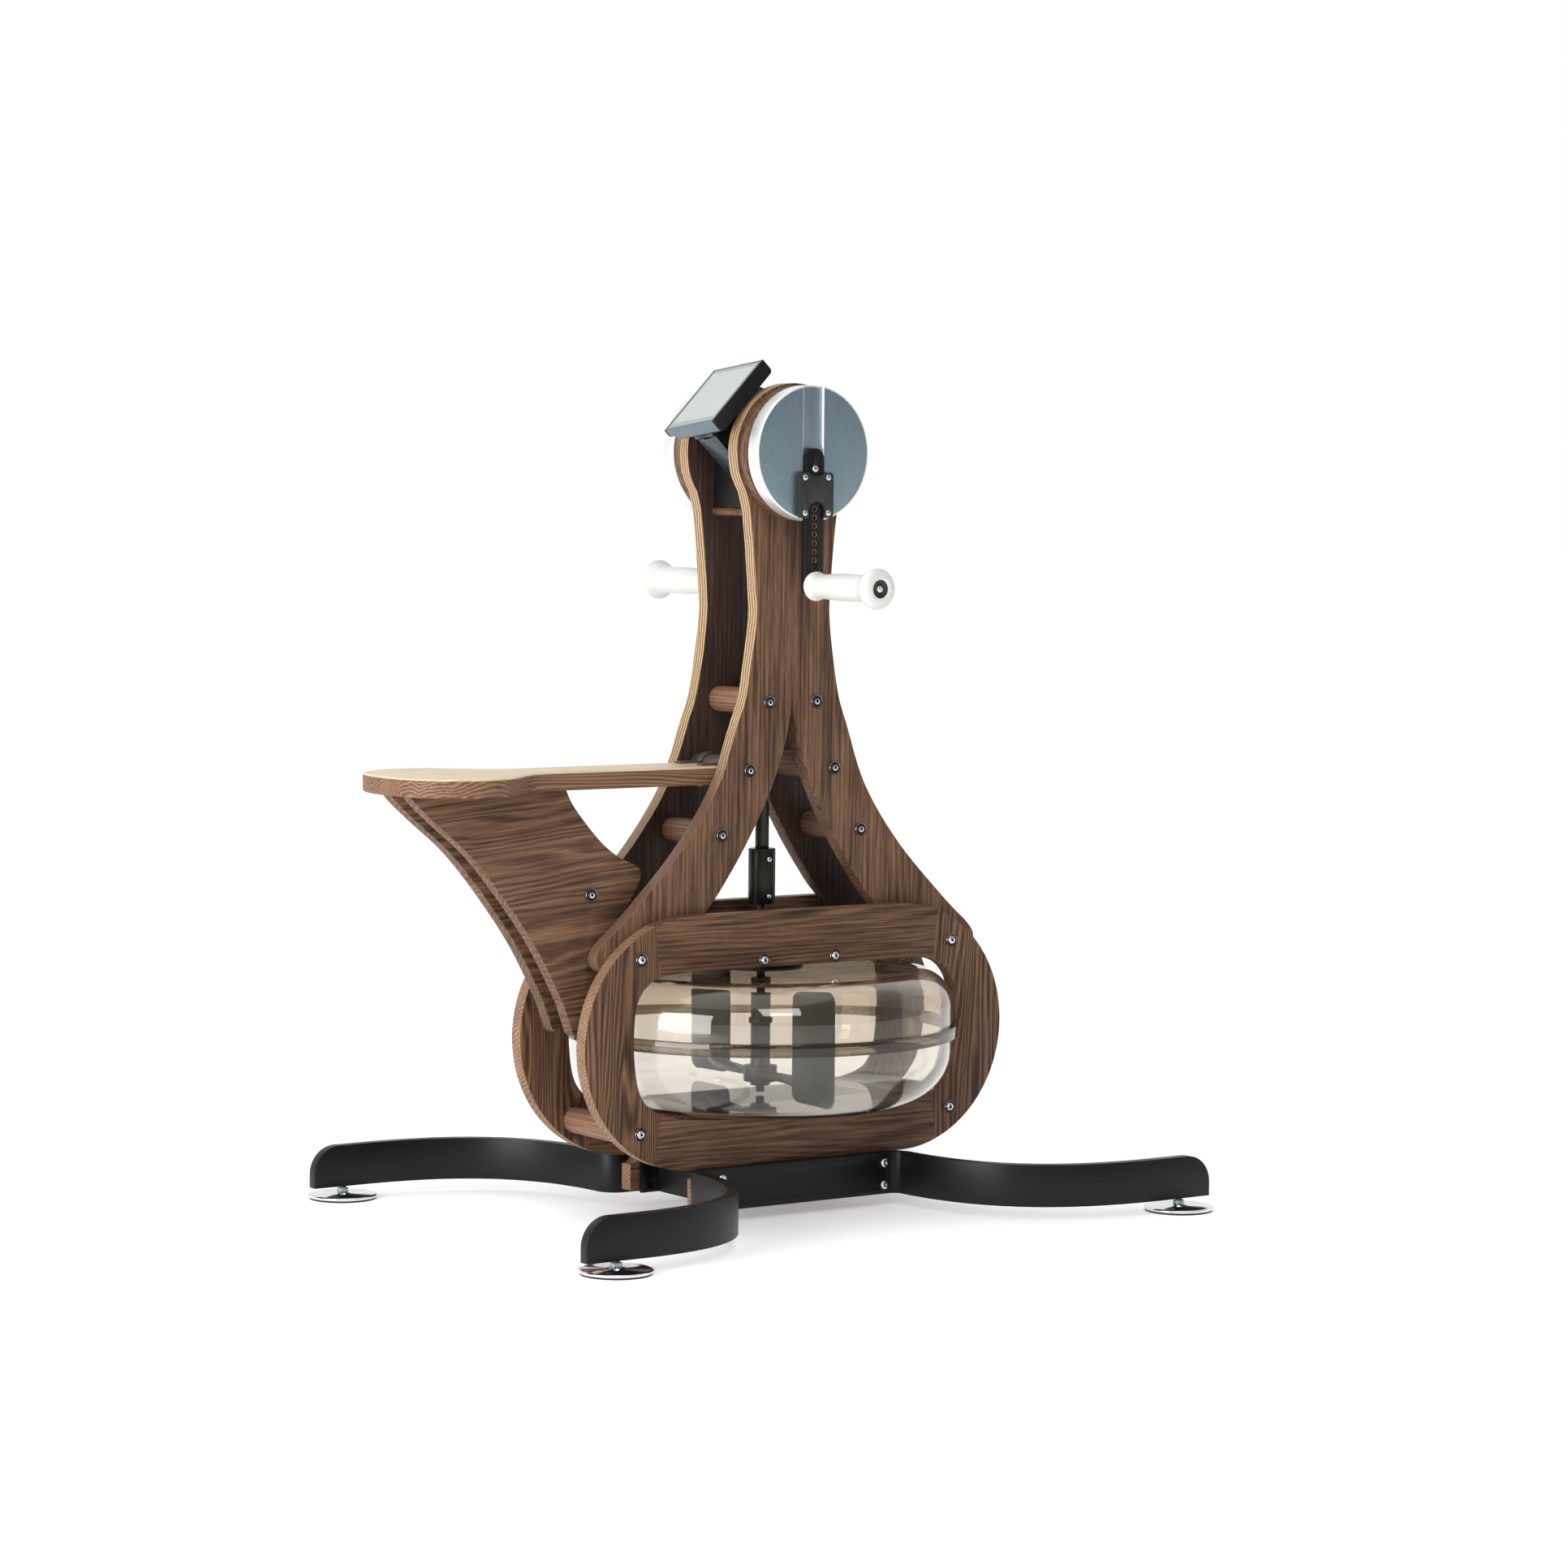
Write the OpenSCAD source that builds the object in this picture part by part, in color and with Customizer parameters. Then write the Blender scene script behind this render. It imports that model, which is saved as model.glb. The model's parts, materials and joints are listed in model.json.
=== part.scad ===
// Upper-body crank trainer with a water tank, a wooden A-frame and a hook-on seat.
// Units are millimetres, Z is up, the floor is Z = 0. The user sits at -X and faces +X,
// so the user's right hand is on the -Y side.

/* [Stance] */
// Distance from the frame centre to a foot, along the machine
foot_reach = 477; // [400:1:560]
// Distance from the frame centre to a foot, across the machine
foot_spread = 362; // [300:1:430]
// Radius of a foot pad
pad_r = 50; // [35:1:58]
// Thickness of the rubber under a foot pad
pad_rubber_t = 3; // [2:0.5:5]
// Thickness of the steel disc of a foot pad
pad_disc_t = 4; // [3:0.5:7]
// Gap between the floor and the leg bars
bar_clear = 18; // [16:0.5:30]
// Height of the steel leg bars
bar_h = 59.5; // [48:0.5:80]
// Thickness of the steel leg bars
bar_t = 16; // [13:0.5:20]
// Place of the front outward bend of a leg bar
front_bend_x = 188; // [180:1:230]
// Place of the rear outward bend of a leg bar
rear_bend_x = 170; // [165:1:230]
// Travel of a levelling foot
foot_travel = 8; // [4:1:10]

/* [Boards] */
// Thickness of every wooden frame board
board_t = 22.5; // [18:0.5:28]
// Clear gap between the two columns
column_gap = 101; // [90:1:122]

/* [Panels] */
// Length of a tank side panel
panel_len = 714.5; // [640:1:860]
// Height of a tank side panel
panel_h = 355; // [320:1:430]
// Length of the opening in a side panel
opening_len = 554; // [500:1:590]
// Height of the opening in a side panel
opening_h = 199; // [190:1:230]
// Distance of the corner bolts from the panel centre, along the machine
corner_bolt_x = 266.5; // [240:0.5:300]
// Distance of the corner bolts above and below the panel centre
corner_bolt_z = 121; // [100:0.5:145]
// Distance of the bridge bolts from the panel centre
bridge_bolt_x = 60.8; // [50:0.1:80]

/* [Columns] */
// Height of the crank axle
crank_z = 1072; // [960:1:1290]
// Radius of a column head
head_r = 98; // [97:0.5:118]
// Half width of a column at its neck
neck_half = 63.5; // [52:0.5:76]
// Radius of the wooden cross rods
rod_r = 18.5; // [15:0.5:22]

/* [Crank] */
// Radius of a crank disc
disc_r = 94.8; // [80:0.1:96]
// Thickness of a crank disc
disc_t = 25; // [18:0.5:30]
// Thickness of the wooden boss between column and disc
boss_t = 18; // [12:0.5:24]
// Crank radius: axle to handle
crank_r = 185; // [160:1:222]
// Width of a crank arm
arm_w = 31; // [26:0.5:37]
// Thickness of a crank arm
arm_t = 10; // [8:0.5:12]
// Spacing of the length holes in an arm
hole_pitch = 11.9; // [10:0.1:12.2]
// Number of length steps the arm can slide
slide_steps = 6; // [4:1:6]
// Radius of the axle
axle_r = 12.5; // [10:0.5:16]

/* [Handles] */
// Length of a hand grip
grip_len = 158; // [130:1:190]
// Radius of the outer end of a grip
grip_end_r = 28.6; // [24:0.1:34]
// Radius of the spindle through a grip
spindle_r = 6; // [5:0.25:8]

/* [Tank] */
// Outer radius of the tank wall
tank_r = 275; // [262:1:276]
// Outer radius of the clamp ring
ring_r = 281.6; // [278:0.1:292]
// Height of the clamp ring
ring_h = 18; // [14:0.5:24]
// Height of the upper tank shell above the ring's middle
upper_h = 86; // [70:1:90]
// Depth of the lower tank shell below the ring's middle
lower_h = 105.5; // [90:0.5:107]
// Wall of the tank shells
shell_t = 5; // [3:0.5:7]
// Number of paddle blades
blade_count = 2; // [2:1:6]
// Width of a paddle blade
blade_w = 90; // [60:1:94]

/* [Seat] */
// Length of the seat board
seat_len = 530; // [460:1:640]
// Width of the seat at its wide front
seat_w = 244; // [200:1:300]
// Thickness of the seat board
seat_t = 26; // [20:0.5:32]
// Height of the seat's top face above the hook rod's axis
seat_above_rod = 6; // [3:0.5:9]

/* [Display] */
// Width of the display
display_w = 123; // [100:1:123]
// Height of the display
display_h = 126; // [110:1:140]
// Depth of the display
display_d = 22.5; // [18:0.5:23]
// Lean of the display from upright
display_lean = 46; // [35:1:50]
// Side tip of the display on its bracket
display_tip = 6.2; // [0:0.1:8]

/* [Fits] */
// Running clearance of a shaft in its bearing, on the radius
run_gap = 0.05; // [0.02:0.01:0.1]
// Gap between pieces that move past each other
slide_gap = 0.4; // [0.3:0.05:0.6]
// Clearance of a bolt in its hole, on the radius
bolt_gap = 0.2; // [0.1:0.05:0.5]

/* [Hidden] */
$fn = 64;

// ---- places that follow from the driving sizes
column_in = column_gap / 2;
column_out = column_in + board_t;
panel_in = column_out;
panel_out = panel_in + board_t;
panel_z0 = bar_clear + bar_h - 1.25;
panel_z = panel_z0 + panel_h / 2;
panel_top = panel_z0 + panel_h;
corner_top = panel_z + corner_bolt_z;
corner_low = panel_z - corner_bolt_z;
neck_z = crank_z - 232;
leg_rise = neck_z - panel_top;
leg_foot_x = corner_bolt_x + 41.5;
apex_z = panel_top + 0.7215 * leg_rise;
bridge_z = panel_z + opening_h / 2 + 10;

// cross rods: share of the leg's spread and of its rise
high_rod = [0.1305 * leg_foot_x, panel_top + 0.714 * leg_rise];
hook_at = [0.236 * leg_foot_x, panel_top + 0.482 * leg_rise];
low_rod = [0.387 * leg_foot_x, panel_top + 0.264 * leg_rise];

disc_in = column_out + boss_t + 2.5;
disc_out = disc_in + disc_t;
arm_proud = 4.3;
arm_out = disc_out + arm_proud;
arm_in = arm_out - arm_t;
plate_t = 4;
plate_out = arm_out + slide_gap + plate_t;
plate_h = 63.5;
plate_w = arm_w + 26.5;
plate_z0 = crank_z - disc_r + 4.8;
plate_screw = [arm_w / 2 + 4.3, plate_h / 2 - 7];
handle_z = crank_z - crank_r;
arm_top_z = crank_z + 7;
grip_in = arm_out + slide_gap;
grip_out = grip_in + grip_len;

tank_z = panel_z + 2;
tank_top = tank_z + upper_h;
tank_bottom = tank_z - lower_h;
upper_shoulder = 54;
lower_shoulder = 80;
sleeve_r = 19.3;
sleeve_z0 = panel_top + 1;
sleeve_h = 79;
shaft_r = 9.8;
spindle_low_r = 6;
flange_r = 60;

housing_half = 54;
housing_z0 = crank_z - 77;
housing_h = 130;
housing_wall = 6;

seat_top = hook_at.y + seat_above_rod;
seat_low = seat_top - seat_t;
seat_rear = -(hook_at.x + rod_r + 2);
seat_front = seat_rear - seat_len;
tongue_half = column_in - 1.5;
bracket_in = 15.5;
bracket_at = [-312.5, seat_low - 146.2];

leg_end = foot_reach + pad_r;
leg_corner = 40;
foot_at = [foot_reach, foot_spread];
origin_x = -(seat_front + leg_end) / 2;

display_at = [-89, 0, crank_z + 80.3];

module place() {
    translate([origin_x, 0, 0]) children();
}

// a board or plate drawn in the X-Z plane, from y0 to y0 + t
module slab(y0, t) {
    translate([0, y0 + t, 0]) rotate([90, 0, 0]) linear_extrude(t) children();
}

// side is -1 for the user's right hand and 1 for the left
module side_slab(side, y_in, t) {
    slab(side < 0 ? -y_in - t : y_in, t) children();
}

// a round bar along Y from y0 to y0 + len at a point in the X-Z plane
module rod_y(at, y0, len, r) {
    translate([at.x, y0 + len, at.y]) rotate([90, 0, 0]) cylinder(h = len, r = r);
}

// the same on one side, measured outwards from the middle plane
module side_rod(side, at, y_in, len, r) {
    rod_y(at, side < 0 ? -y_in - len : y_in, len, r);
}

function mirror_x(pts) = [for (i = [len(pts) - 1:-1:0]) [-pts[i].x, pts[i].y]];

// smooth curve through the points of p, with n steps to each stretch
function blend(a, b, c, d, t) = 0.5 * (2 * b + (c - a) * t + (2 * a - 5 * b + 4 * c - d) * t * t
    + (3 * b - a - 3 * c + d) * t * t * t);
function curve(p, n = 6) = [for (i = [0:len(p) - 2]) for (k = [0:n - 1])
    blend(p[max(i - 1, 0)], p[i], p[i + 1], p[min(i + 2, len(p) - 1)], k / n), p[len(p) - 1]];
function bezier(a, b, c, d, n = 14) = [for (i = [0:n]) let (t = i / n, s = 1 - t)
    s * s * s * a + 3 * s * s * t * b + 3 * s * t * t * c + t * t * t * d];
function arc(c, r, a0, a1, n = 12) = [for (i = [0:n]) let (a = a0 + (a1 - a0) * i / n)
    c + r * [cos(a), sin(a)]];

// ---- tank side panels: two end blocks and two rails, glued into one board
module round_box(w, h, r) {
    polygon(concat(arc([w / 2 - r, h / 2 - r], r, 0, 90), arc([r - w / 2, h / 2 - r], r, 90, 180),
        arc([r - w / 2, r - h / 2], r, 180, 270), arc([w / 2 - r, r - h / 2], r, 270, 360)));
}

// half of the opening, as shares of its half length and half height
function opening_half() = [for (p = curve([[0, 1], [0.5, 1], [0.72, 0.993], [0.84, 0.955], [0.925, 0.84],
    [0.985, 0.58], [1, 0.15], [0.995, -0.25], [0.972, -0.6], [0.93, -0.8], [0.86, -0.94], [0.7, -1.06],
    [0.43, -1.12], [0, -1.14]], 3)) [p.x * opening_len / 2, p.y * opening_h / 2]];
module opening() {
    h = opening_half();
    polygon(concat(h, [for (i = [len(h) - 2:-1:1]) [-h[i].x, h[i].y]]));
}

module panel_outline() {
    translate([0, panel_z]) difference() {
        union() {
            square([panel_len - panel_h, panel_h], center = true);
            for (sx = [-1, 1]) translate([sx * (panel_len - panel_h) / 2, 0]) circle(d = panel_h, $fn = 128);
        }
        opening();
        for (sx = [-1, 1]) {
            for (sz = [-1, 1]) translate([sx * corner_bolt_x, sz * corner_bolt_z]) circle(bolt_r + bolt_gap);
            translate([sx * bridge_bolt_x, bridge_z - panel_z]) circle(bolt_r + bolt_gap);
        }
    }
}

// the middle part of a panel, between its slanting glue joints
module rail_zone() {
    joint_out = corner_bolt_x - 20.5;
    joint_in = joint_out - 13;
    translate([0, panel_z]) polygon([[-joint_out, panel_h / 2 + 1], [joint_out, panel_h / 2 + 1],
        [joint_in, opening_h / 2], [joint_in, -opening_h / 2], [joint_out, -panel_h / 2 - 1],
        [-joint_out, -panel_h / 2 - 1], [-joint_in, -opening_h / 2], [-joint_in, opening_h / 2]]);
}

module panel_ends(side) {
    color("saddlebrown") place() side_slab(side, panel_in, board_t) difference() {
        panel_outline();
        rail_zone();
    }
}

module panel_rails(side) {
    color("peru") place() side_slab(side, panel_in, board_t) intersection() {
        panel_outline();
        rail_zone();
    }
}

module right_panel_ends() { panel_ends(-1); }
module left_panel_ends() { panel_ends(1); }
module right_panel_rails() { panel_rails(-1); }
module left_panel_rails() { panel_rails(1); }

// ---- A-frame columns: each side is two mirrored halves glued on the centre line
head_break = -34;
function head_edge() = arc([0, crank_z], head_r, 90, head_break, 20);
function leg_at(share) = [neck_half + share.x * (leg_foot_x - neck_half), panel_top + share.y * leg_rise];
function leg_outer() = curve([crank_z_edge(), [neck_half + 9, neck_z + 0.6 * (crank_z - neck_z)],
    [neck_half + 0.5, neck_z + 0.2 * (crank_z - neck_z)], leg_at([0, 0.98]), leg_at([0.057, 0.755]),
    leg_at([0.127, 0.628]), leg_at([0.264, 0.416]), leg_at([0.509, 0.21]), leg_at([0.836, 0.012]),
    [corner_bolt_x + 41.5, corner_top + 26]]);
function crank_z_edge() = [0, crank_z] + head_r * [cos(head_break), sin(head_break)];
function foot_edge() = curve([[corner_bolt_x + 41.5, corner_top + 26], [corner_bolt_x + 55, corner_top + 11],
    [corner_bolt_x + 58, corner_top - 2], [corner_bolt_x + 50, corner_top - 15],
    [corner_bolt_x + 33, corner_top - 19]], 4);
function leg_inner() = curve([[corner_bolt_x - 52, corner_top - 19], [0.60 * leg_foot_x, panel_top - 42],
    [0.474 * leg_foot_x, panel_top + 0.002 * leg_rise], [0.4 * leg_foot_x, panel_top + 0.066 * leg_rise],
    [0.2565 * leg_foot_x, panel_top + 0.2225 * leg_rise], [0.123 * leg_foot_x, panel_top + 0.403 * leg_rise],
    [0.055 * leg_foot_x, panel_top + 0.535 * leg_rise], [0.0195 * leg_foot_x, panel_top + 0.633 * leg_rise],
    [0, apex_z]]);

module column_half() {
    difference() {
        polygon(concat(head_edge(), leg_outer(), foot_edge(), leg_inner()));
        translate([0, crank_z]) circle(bearing_r);
        for (p = [high_rod, hook_at, low_rod, [corner_bolt_x, corner_top]])
            translate(p) circle(bolt_r + bolt_gap);
    }
}

module column(side) {
    color("sienna") place() side_slab(side, column_in, board_t) {
        column_half();
        mirror([1, 0]) column_half();
    }
}

module right_column() { column(-1); }
module left_column() { column(1); }

// ---- cross rods, drilled at both ends for their bolts
module cross_rod(at, half_len) {
    difference() {
        rod_y(at, -half_len, 2 * half_len, rod_r);
        for (side = [-1, 1]) side_rod(side, at, half_len - thread_len, thread_len + 1, bolt_r + bolt_gap);
    }
}

module column_rods() {
    color("burlywood") place() {
        for (p = [high_rod, [-high_rod.x, high_rod.y], hook_at, low_rod, [-low_rod.x, low_rod.y]])
            cross_rod(p, column_in);
    }
}

module hook_rod() {
    color("dimgray") place() cross_rod([-hook_at.x, hook_at.y], column_in);
}

module panel_rods() {
    color("burlywood") place() for (sx = [-1, 1]) {
        cross_rod([sx * corner_bolt_x, corner_top], column_in);
        cross_rod([sx * corner_bolt_x, corner_low], panel_in);
    }
}

// ---- cross board over the tank that carries the shaft
bridge_half = 92;
module shaft_bridge() {
    color("peru") place() difference() {
        translate([-bridge_half, -panel_in, bridge_z - board_t / 2]) cube([2 * bridge_half, 2 * panel_in, board_t]);
        translate([0, 0, bridge_z - board_t]) cylinder(h = 2 * board_t, r = low_bearing_r);
        for (sx = [-1, 1], side = [-1, 1])
            side_rod(side, [sx * bridge_bolt_x, bridge_z], panel_in - thread_len, thread_len + 1, bolt_r + bolt_gap);
    }
}

// ---- ball bearings, drawn as plain rings
bearing_r = 26;
low_bearing_r = 16;
module bearings() {
    color("silver") place() {
        for (side = [-1, 1]) difference() {
            side_rod(side, [0, crank_z], column_in + 1, board_t - 2, bearing_r);
            side_rod(side, [0, crank_z], column_in - 1, board_t + 2, axle_r + run_gap);
        }
        for (p = [[housing_z0 + 0.5, shaft_r, bearing_r - 8, 10], [bridge_z - 6, spindle_low_r, low_bearing_r, 12]])
            translate([0, 0, p[0]]) difference() {
                cylinder(h = p[3], r = p[2]);
                translate([0, 0, -1]) cylinder(h = p[3] + 2, r = p[1] + run_gap);
            }
    }
}

// ---- base: wooden runners, bent steel bars, steel cross members
runner_end = 172.5;
runner_low = bar_clear + 6;
notch_r = 15;
module runners() {
    color("saddlebrown") place() for (side = [-1, 1]) difference() {
        side_slab(side, panel_in, board_t) difference() {
            translate([-runner_end, runner_low]) square([2 * runner_end, panel_z0 - runner_low]);
            for (sx = [-1, 1]) translate([sx * runner_end, panel_z0]) circle(notch_r);
        }
        for (sx = [-1, 1], z = bar_bolt_z())
            side_rod(side, [sx * bar_bolt_x, z], panel_in - 1, board_t + 2, bolt_r + bolt_gap);
    }
}

bar_bolt_x = 140;
function bar_bolt_z() = [bar_clear + 13, bar_clear + 44.5];
bar_mid = panel_out + bar_t / 2;
bend_r = 22;

// centre line of one end of a bar, from the runner out to the foot
function bar_line(bend_x) = let (y_out = bar_mid + bend_r)
    concat([for (i = [0:8]) let (a = 90 - i * 90 / 8)
            [bend_x - bend_r + bend_r * cos(a), y_out - bend_r * sin(a)]],
        [for (i = [1:16]) let (p = bezier([bend_x, y_out], [bend_x + 8, y_out + 0.61 * (foot_spread - y_out)],
            [bend_x + 82, foot_spread], [foot_reach - 40, foot_spread], 16)) p[i]],
        [[leg_end, foot_spread]]);

// the line moved sideways by d, square to its own direction
function shifted(p, d) = [for (i = [0:len(p) - 1])
    let (a = p[max(i - 1, 0)], b = p[min(i + 1, len(p) - 1)], u = (b - a) / norm(b - a))
    p[i] + d * [-u.y, u.x]];

module bar_plan() {
    line = concat(mirror_x(bar_line(front_bend_x)), bar_line(rear_bend_x));
    a = shifted(line, bar_t / 2);
    b = shifted(line, -bar_t / 2);
    polygon(concat(a, [for (i = [len(b) - 1:-1:0]) b[i]]));
}

// cuts the top corner of a bar's end to a quarter round
module end_cutter() {
    translate([leg_end - leg_corner, foot_spread + bar_t, bar_clear + bar_h - leg_corner]) rotate([90, 0, 0])
        difference() {
            cube([leg_corner + 1, leg_corner + 1, 2 * bar_t]);
            translate([0, 0, -1]) cylinder(h = 2 * bar_t + 2, r = leg_corner);
        }
}

module leg_bar(side) {
    color("#1b1b1b") place() scale([1, side, 1]) difference() {
        translate([0, 0, bar_clear]) linear_extrude(bar_h) bar_plan();
        for (sx = [-1, 1]) scale([sx, 1, 1]) {
            end_cutter();
            translate([foot_reach, foot_spread, bar_clear - 1]) cylinder(h = stud_up + 2, r = stud_r + run_gap);
            for (z = bar_bolt_z()) rod_y([bar_bolt_x, z], panel_out - 1, bar_t + 2, bolt_r + bolt_gap);
        }
    }
}

module right_leg_bar() { leg_bar(-1); }
module left_leg_bar() { leg_bar(1); }

cross_x = 122;
cross_t = 5;
flange_len = 35;
module cross_members() {
    color("#202020") place() for (sx = [-1, 1]) scale([sx, 1, 1]) difference() {
        union() {
            translate([cross_x, -panel_in, bar_clear + 2]) cube([cross_t, 2 * panel_in, bar_h - 8]);
            for (side = [-1, 1]) scale([1, side, 1])
                translate([cross_x, panel_in - cross_t, bar_clear + 2]) cube([flange_len, cross_t, bar_h - 8]);
        }
        for (side = [-1, 1], z = bar_bolt_z())
            side_rod(side, [bar_bolt_x, z], panel_in - cross_t - 1, cross_t + 2, bolt_r + bolt_gap);
    }
}

shelf_half = 150;
module tank_shelf() {
    color("peru") place() translate([-shelf_half, -panel_in, tank_bottom - board_t])
        cube([2 * shelf_half, 2 * panel_in, board_t]);
}

// ---- bolts: a cup washer with a button head in it
bolt_r = 4;
thread_len = 24;
cup_r = 9.4;
module cup_bolt(side, at, y_out, grip) {
    translate([at.x, side * y_out, at.y]) rotate([side < 0 ? 90 : -90, 0, 0]) difference() {
        union() {
            translate([0, 0, -grip - thread_len + 2]) cylinder(h = grip + thread_len, r = bolt_r);
            cylinder(h = 2.5, r = cup_r);
            translate([0, 0, 1]) cylinder(h = 3, r1 = 6.2, r2 = 5);
        }
        translate([0, 0, 2]) cylinder(h = 3, r = 2.6, $fn = 6);
    }
}

module panel_bolts() {
    color("silver") place() for (side = [-1, 1], sx = [-1, 1]) {
        cup_bolt(side, [sx * corner_bolt_x, corner_top], panel_out, 2 * board_t);
        cup_bolt(side, [sx * corner_bolt_x, corner_low], panel_out, board_t);
        cup_bolt(side, [sx * bridge_bolt_x, bridge_z], panel_out, board_t);
    }
}

module column_bolts() {
    color("silver") place() for (side = [-1, 1], sx = [-1, 1], p = [high_rod, hook_at, low_rod])
        cup_bolt(side, [sx * p.x, p.y], column_out, board_t);
}

module leg_bolts() {
    color("silver") place() for (side = [-1, 1], sx = [-1, 1], z = bar_bolt_z())
        translate([sx * bar_bolt_x, side * (panel_out + bar_t), z]) rotate([side < 0 ? 90 : -90, 0, 0])
            difference() {
                union() {
                    translate([0, 0, -bar_t - board_t - cross_t - 7])
                        cylinder(h = bar_t + board_t + cross_t + 8, r = bolt_r);
                    cylinder(h = 3, r1 = 6.5, r2 = 5.2);
                    translate([0, 0, -bar_t - board_t - cross_t - 6]) cylinder(h = 6, r = 7.5, $fn = 6);
                }
                translate([0, 0, 1.2]) cylinder(h = 3, r = 2.6, $fn = 6);
            }
}

// ---- gear housing between the column heads
module gear_housing() {
    color("#2c2f2b") place() difference() {
        translate([-housing_half, -column_in, housing_z0]) cube([2 * housing_half, 2 * column_in, housing_h]);
        translate([housing_wall - housing_half, housing_wall - column_in, housing_z0 + housing_wall + 6])
            cube([2 * (housing_half - housing_wall), 2 * (column_in - housing_wall),
                housing_h - 2 * housing_wall - 6]);
        rod_y([0, crank_z], -column_in - 1, 2 * column_in + 2, axle_r + 2);
        translate([0, 0, housing_z0 - 1]) cylinder(h = 11.5, r = bearing_r - 8);
        translate([0, 0, housing_z0]) cylinder(h = housing_wall + 8, r = shaft_r + 1);
    }
}

module gear_shelf() {
    color("peru") place() difference() {
        slab(-column_in, 2 * column_in) {
            translate([4 - housing_half, housing_z0 - 11.5]) square([2 * housing_half - 8, 11.5]);
            for (sx = [-1, 1]) translate([sx * (housing_half - 4), housing_z0 - 5.75]) circle(5.75);
        }
        translate([0, 0, housing_z0 - 13]) cylinder(h = 14, r = bearing_r - 8);
    }
}

module axle_bosses() {
    color("sienna") place() for (side = [-1, 1]) difference() {
        side_rod(side, [0, crank_z], column_out, boss_t, disc_r - 0.4);
        side_rod(side, [0, crank_z], column_out - 1, boss_t + 2, axle_r + 3);
    }
}

// ---- tank: two moulded shells held at their rims by a ring
ring_gap = 0.25;
module shell_wall(h, corner) {
    difference() {
        shell_shape(h, corner, 0);
        shell_shape(h, corner, shell_t);
    }
}

module shell_shape(h, corner, inset) {
    polygon(concat([[0, inset > 0 ? ring_gap - 1 : ring_gap], [0, h - inset]],
        arc([tank_r - corner, h - corner], corner - inset, 90, 0, 16),
        [[tank_r - inset, inset > 0 ? ring_gap - 1 : ring_gap]]));
}

module tank_upper_shell() {
    color([0.55, 0.5, 0.46, 0.5]) place() translate([0, 0, tank_z]) difference() {
        rotate_extrude($fn = 128) shell_wall(upper_h, upper_shoulder);
        translate([0, 0, upper_h - shell_t - 1]) cylinder(h = shell_t + 2, r = spindle_low_r + 3);
        for (a = [0:3]) rotate(45 + 90 * a) translate([flange_r - 10, 0, upper_h - shell_t - 1])
            cylinder(h = shell_t + 2, r = 2.5);
    }
}

module tank_lower_shell() {
    color([0.6, 0.56, 0.52, 0.5]) place() translate([0, 0, tank_z]) mirror([0, 0, 1])
        rotate_extrude($fn = 128) shell_wall(lower_h, lower_shoulder);
}

module tank_ring() {
    color("#6d6258") place() translate([0, 0, tank_z]) rotate_extrude($fn = 128)
        translate([tank_r, -ring_h / 2]) square([ring_r - tank_r, ring_h]);
}

module tank_flange() {
    color("#222222") place() translate([0, 0, tank_top]) difference() {
        union() {
            cylinder(h = 4, r = flange_r);
            cylinder(h = 9, r = 15);
        }
        translate([0, 0, -1]) cylinder(h = 11, r = spindle_low_r + run_gap);
        for (a = [0:3]) rotate(45 + 90 * a) translate([flange_r - 10, 0, -1]) cylinder(h = 6, r = 2.5);
    }
}

module flange_screws() {
    color("silver") place() for (a = [0:3]) rotate(45 + 90 * a)
        translate([flange_r - 10, 0, tank_top]) {
            translate([0, 0, -shell_t - 3]) cylinder(h = shell_t + 8, r = 2.4);
            translate([0, 0, 4]) cylinder(h = 3.5, r = 5);
        }
}

// ---- display and its bracket
module display_frame() {
    place() translate(display_at) rotate([-display_tip, 0, 0]) rotate([0, display_lean, 0]) children();
}

pin_at = [display_d + 6, 12 - display_h / 2];
back_relief = 7;
pin_r = 2.5;
knuckle_r = 5;
knuckle_half = 10;
bracket_half = 22;
strap_len = 110;

module display_bracket() {
    color("lightgray") difference() {
        display_frame() {
            for (side = [-1, 1]) side_rod(side, pin_at, knuckle_half + slide_gap,
                bracket_half - knuckle_half - slide_gap, knuckle_r);
            for (side = [-1, 1]) side_slab(side, knuckle_half + slide_gap,
                bracket_half - knuckle_half - slide_gap)
                translate([pin_at.x + 3, pin_at.y - 2]) square([5, 4]);
            slab(-bracket_half, 2 * bracket_half)
                translate([pin_at.x + knuckle_r + 1.5, pin_at.y - 2]) square([strap_len, 4]);
        }
        place() translate([-housing_half, -column_in, crank_z - 100]) cube([200, 2 * column_in, 200]);
        display_frame() rod_y(pin_at, -bracket_half - 1, 2 * bracket_half + 2, pin_r + run_gap);
    }
}

// the case in side view: depth against height, with rounded rear corners
module case_outline() {
    polygon(concat(arc([display_d - 6, display_h / 2 - 6], 6, 0, 90, 5), arc([2, display_h / 2 - 2], 2, 90, 180, 3),
        arc([2, 2 - display_h / 2], 2, 180, 270, 3), arc([display_d - 6, 6 - display_h / 2], 6, 270, 360, 5)));
}

// the back is cut away on the left, where the tipped case passes over that column's head
module display_case() {
    color("#2a2624") display_frame() {
        difference() {
            slab(-display_w / 2, display_w) case_outline();
            translate([-1, 4 - display_w / 2, 4 - display_h / 2]) cube([2.5, display_w - 8, display_h - 8]);
            translate([display_d - back_relief, column_in - 3, -display_h / 2 - 1])
                cube([back_relief + 1, display_w / 2, display_h + 2]);
        }
        slab(-knuckle_half, 2 * knuckle_half) {
            translate(pin_at) circle(knuckle_r);
            translate([display_d - 1, pin_at.y - 3]) square([7, 8]);
        }
        rod_y(pin_at, -bracket_half, 2 * bracket_half, pin_r);
        translate([display_d - 1, -30, display_h / 2 - 27]) cube([13, 60, 22]);
    }
}

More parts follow.
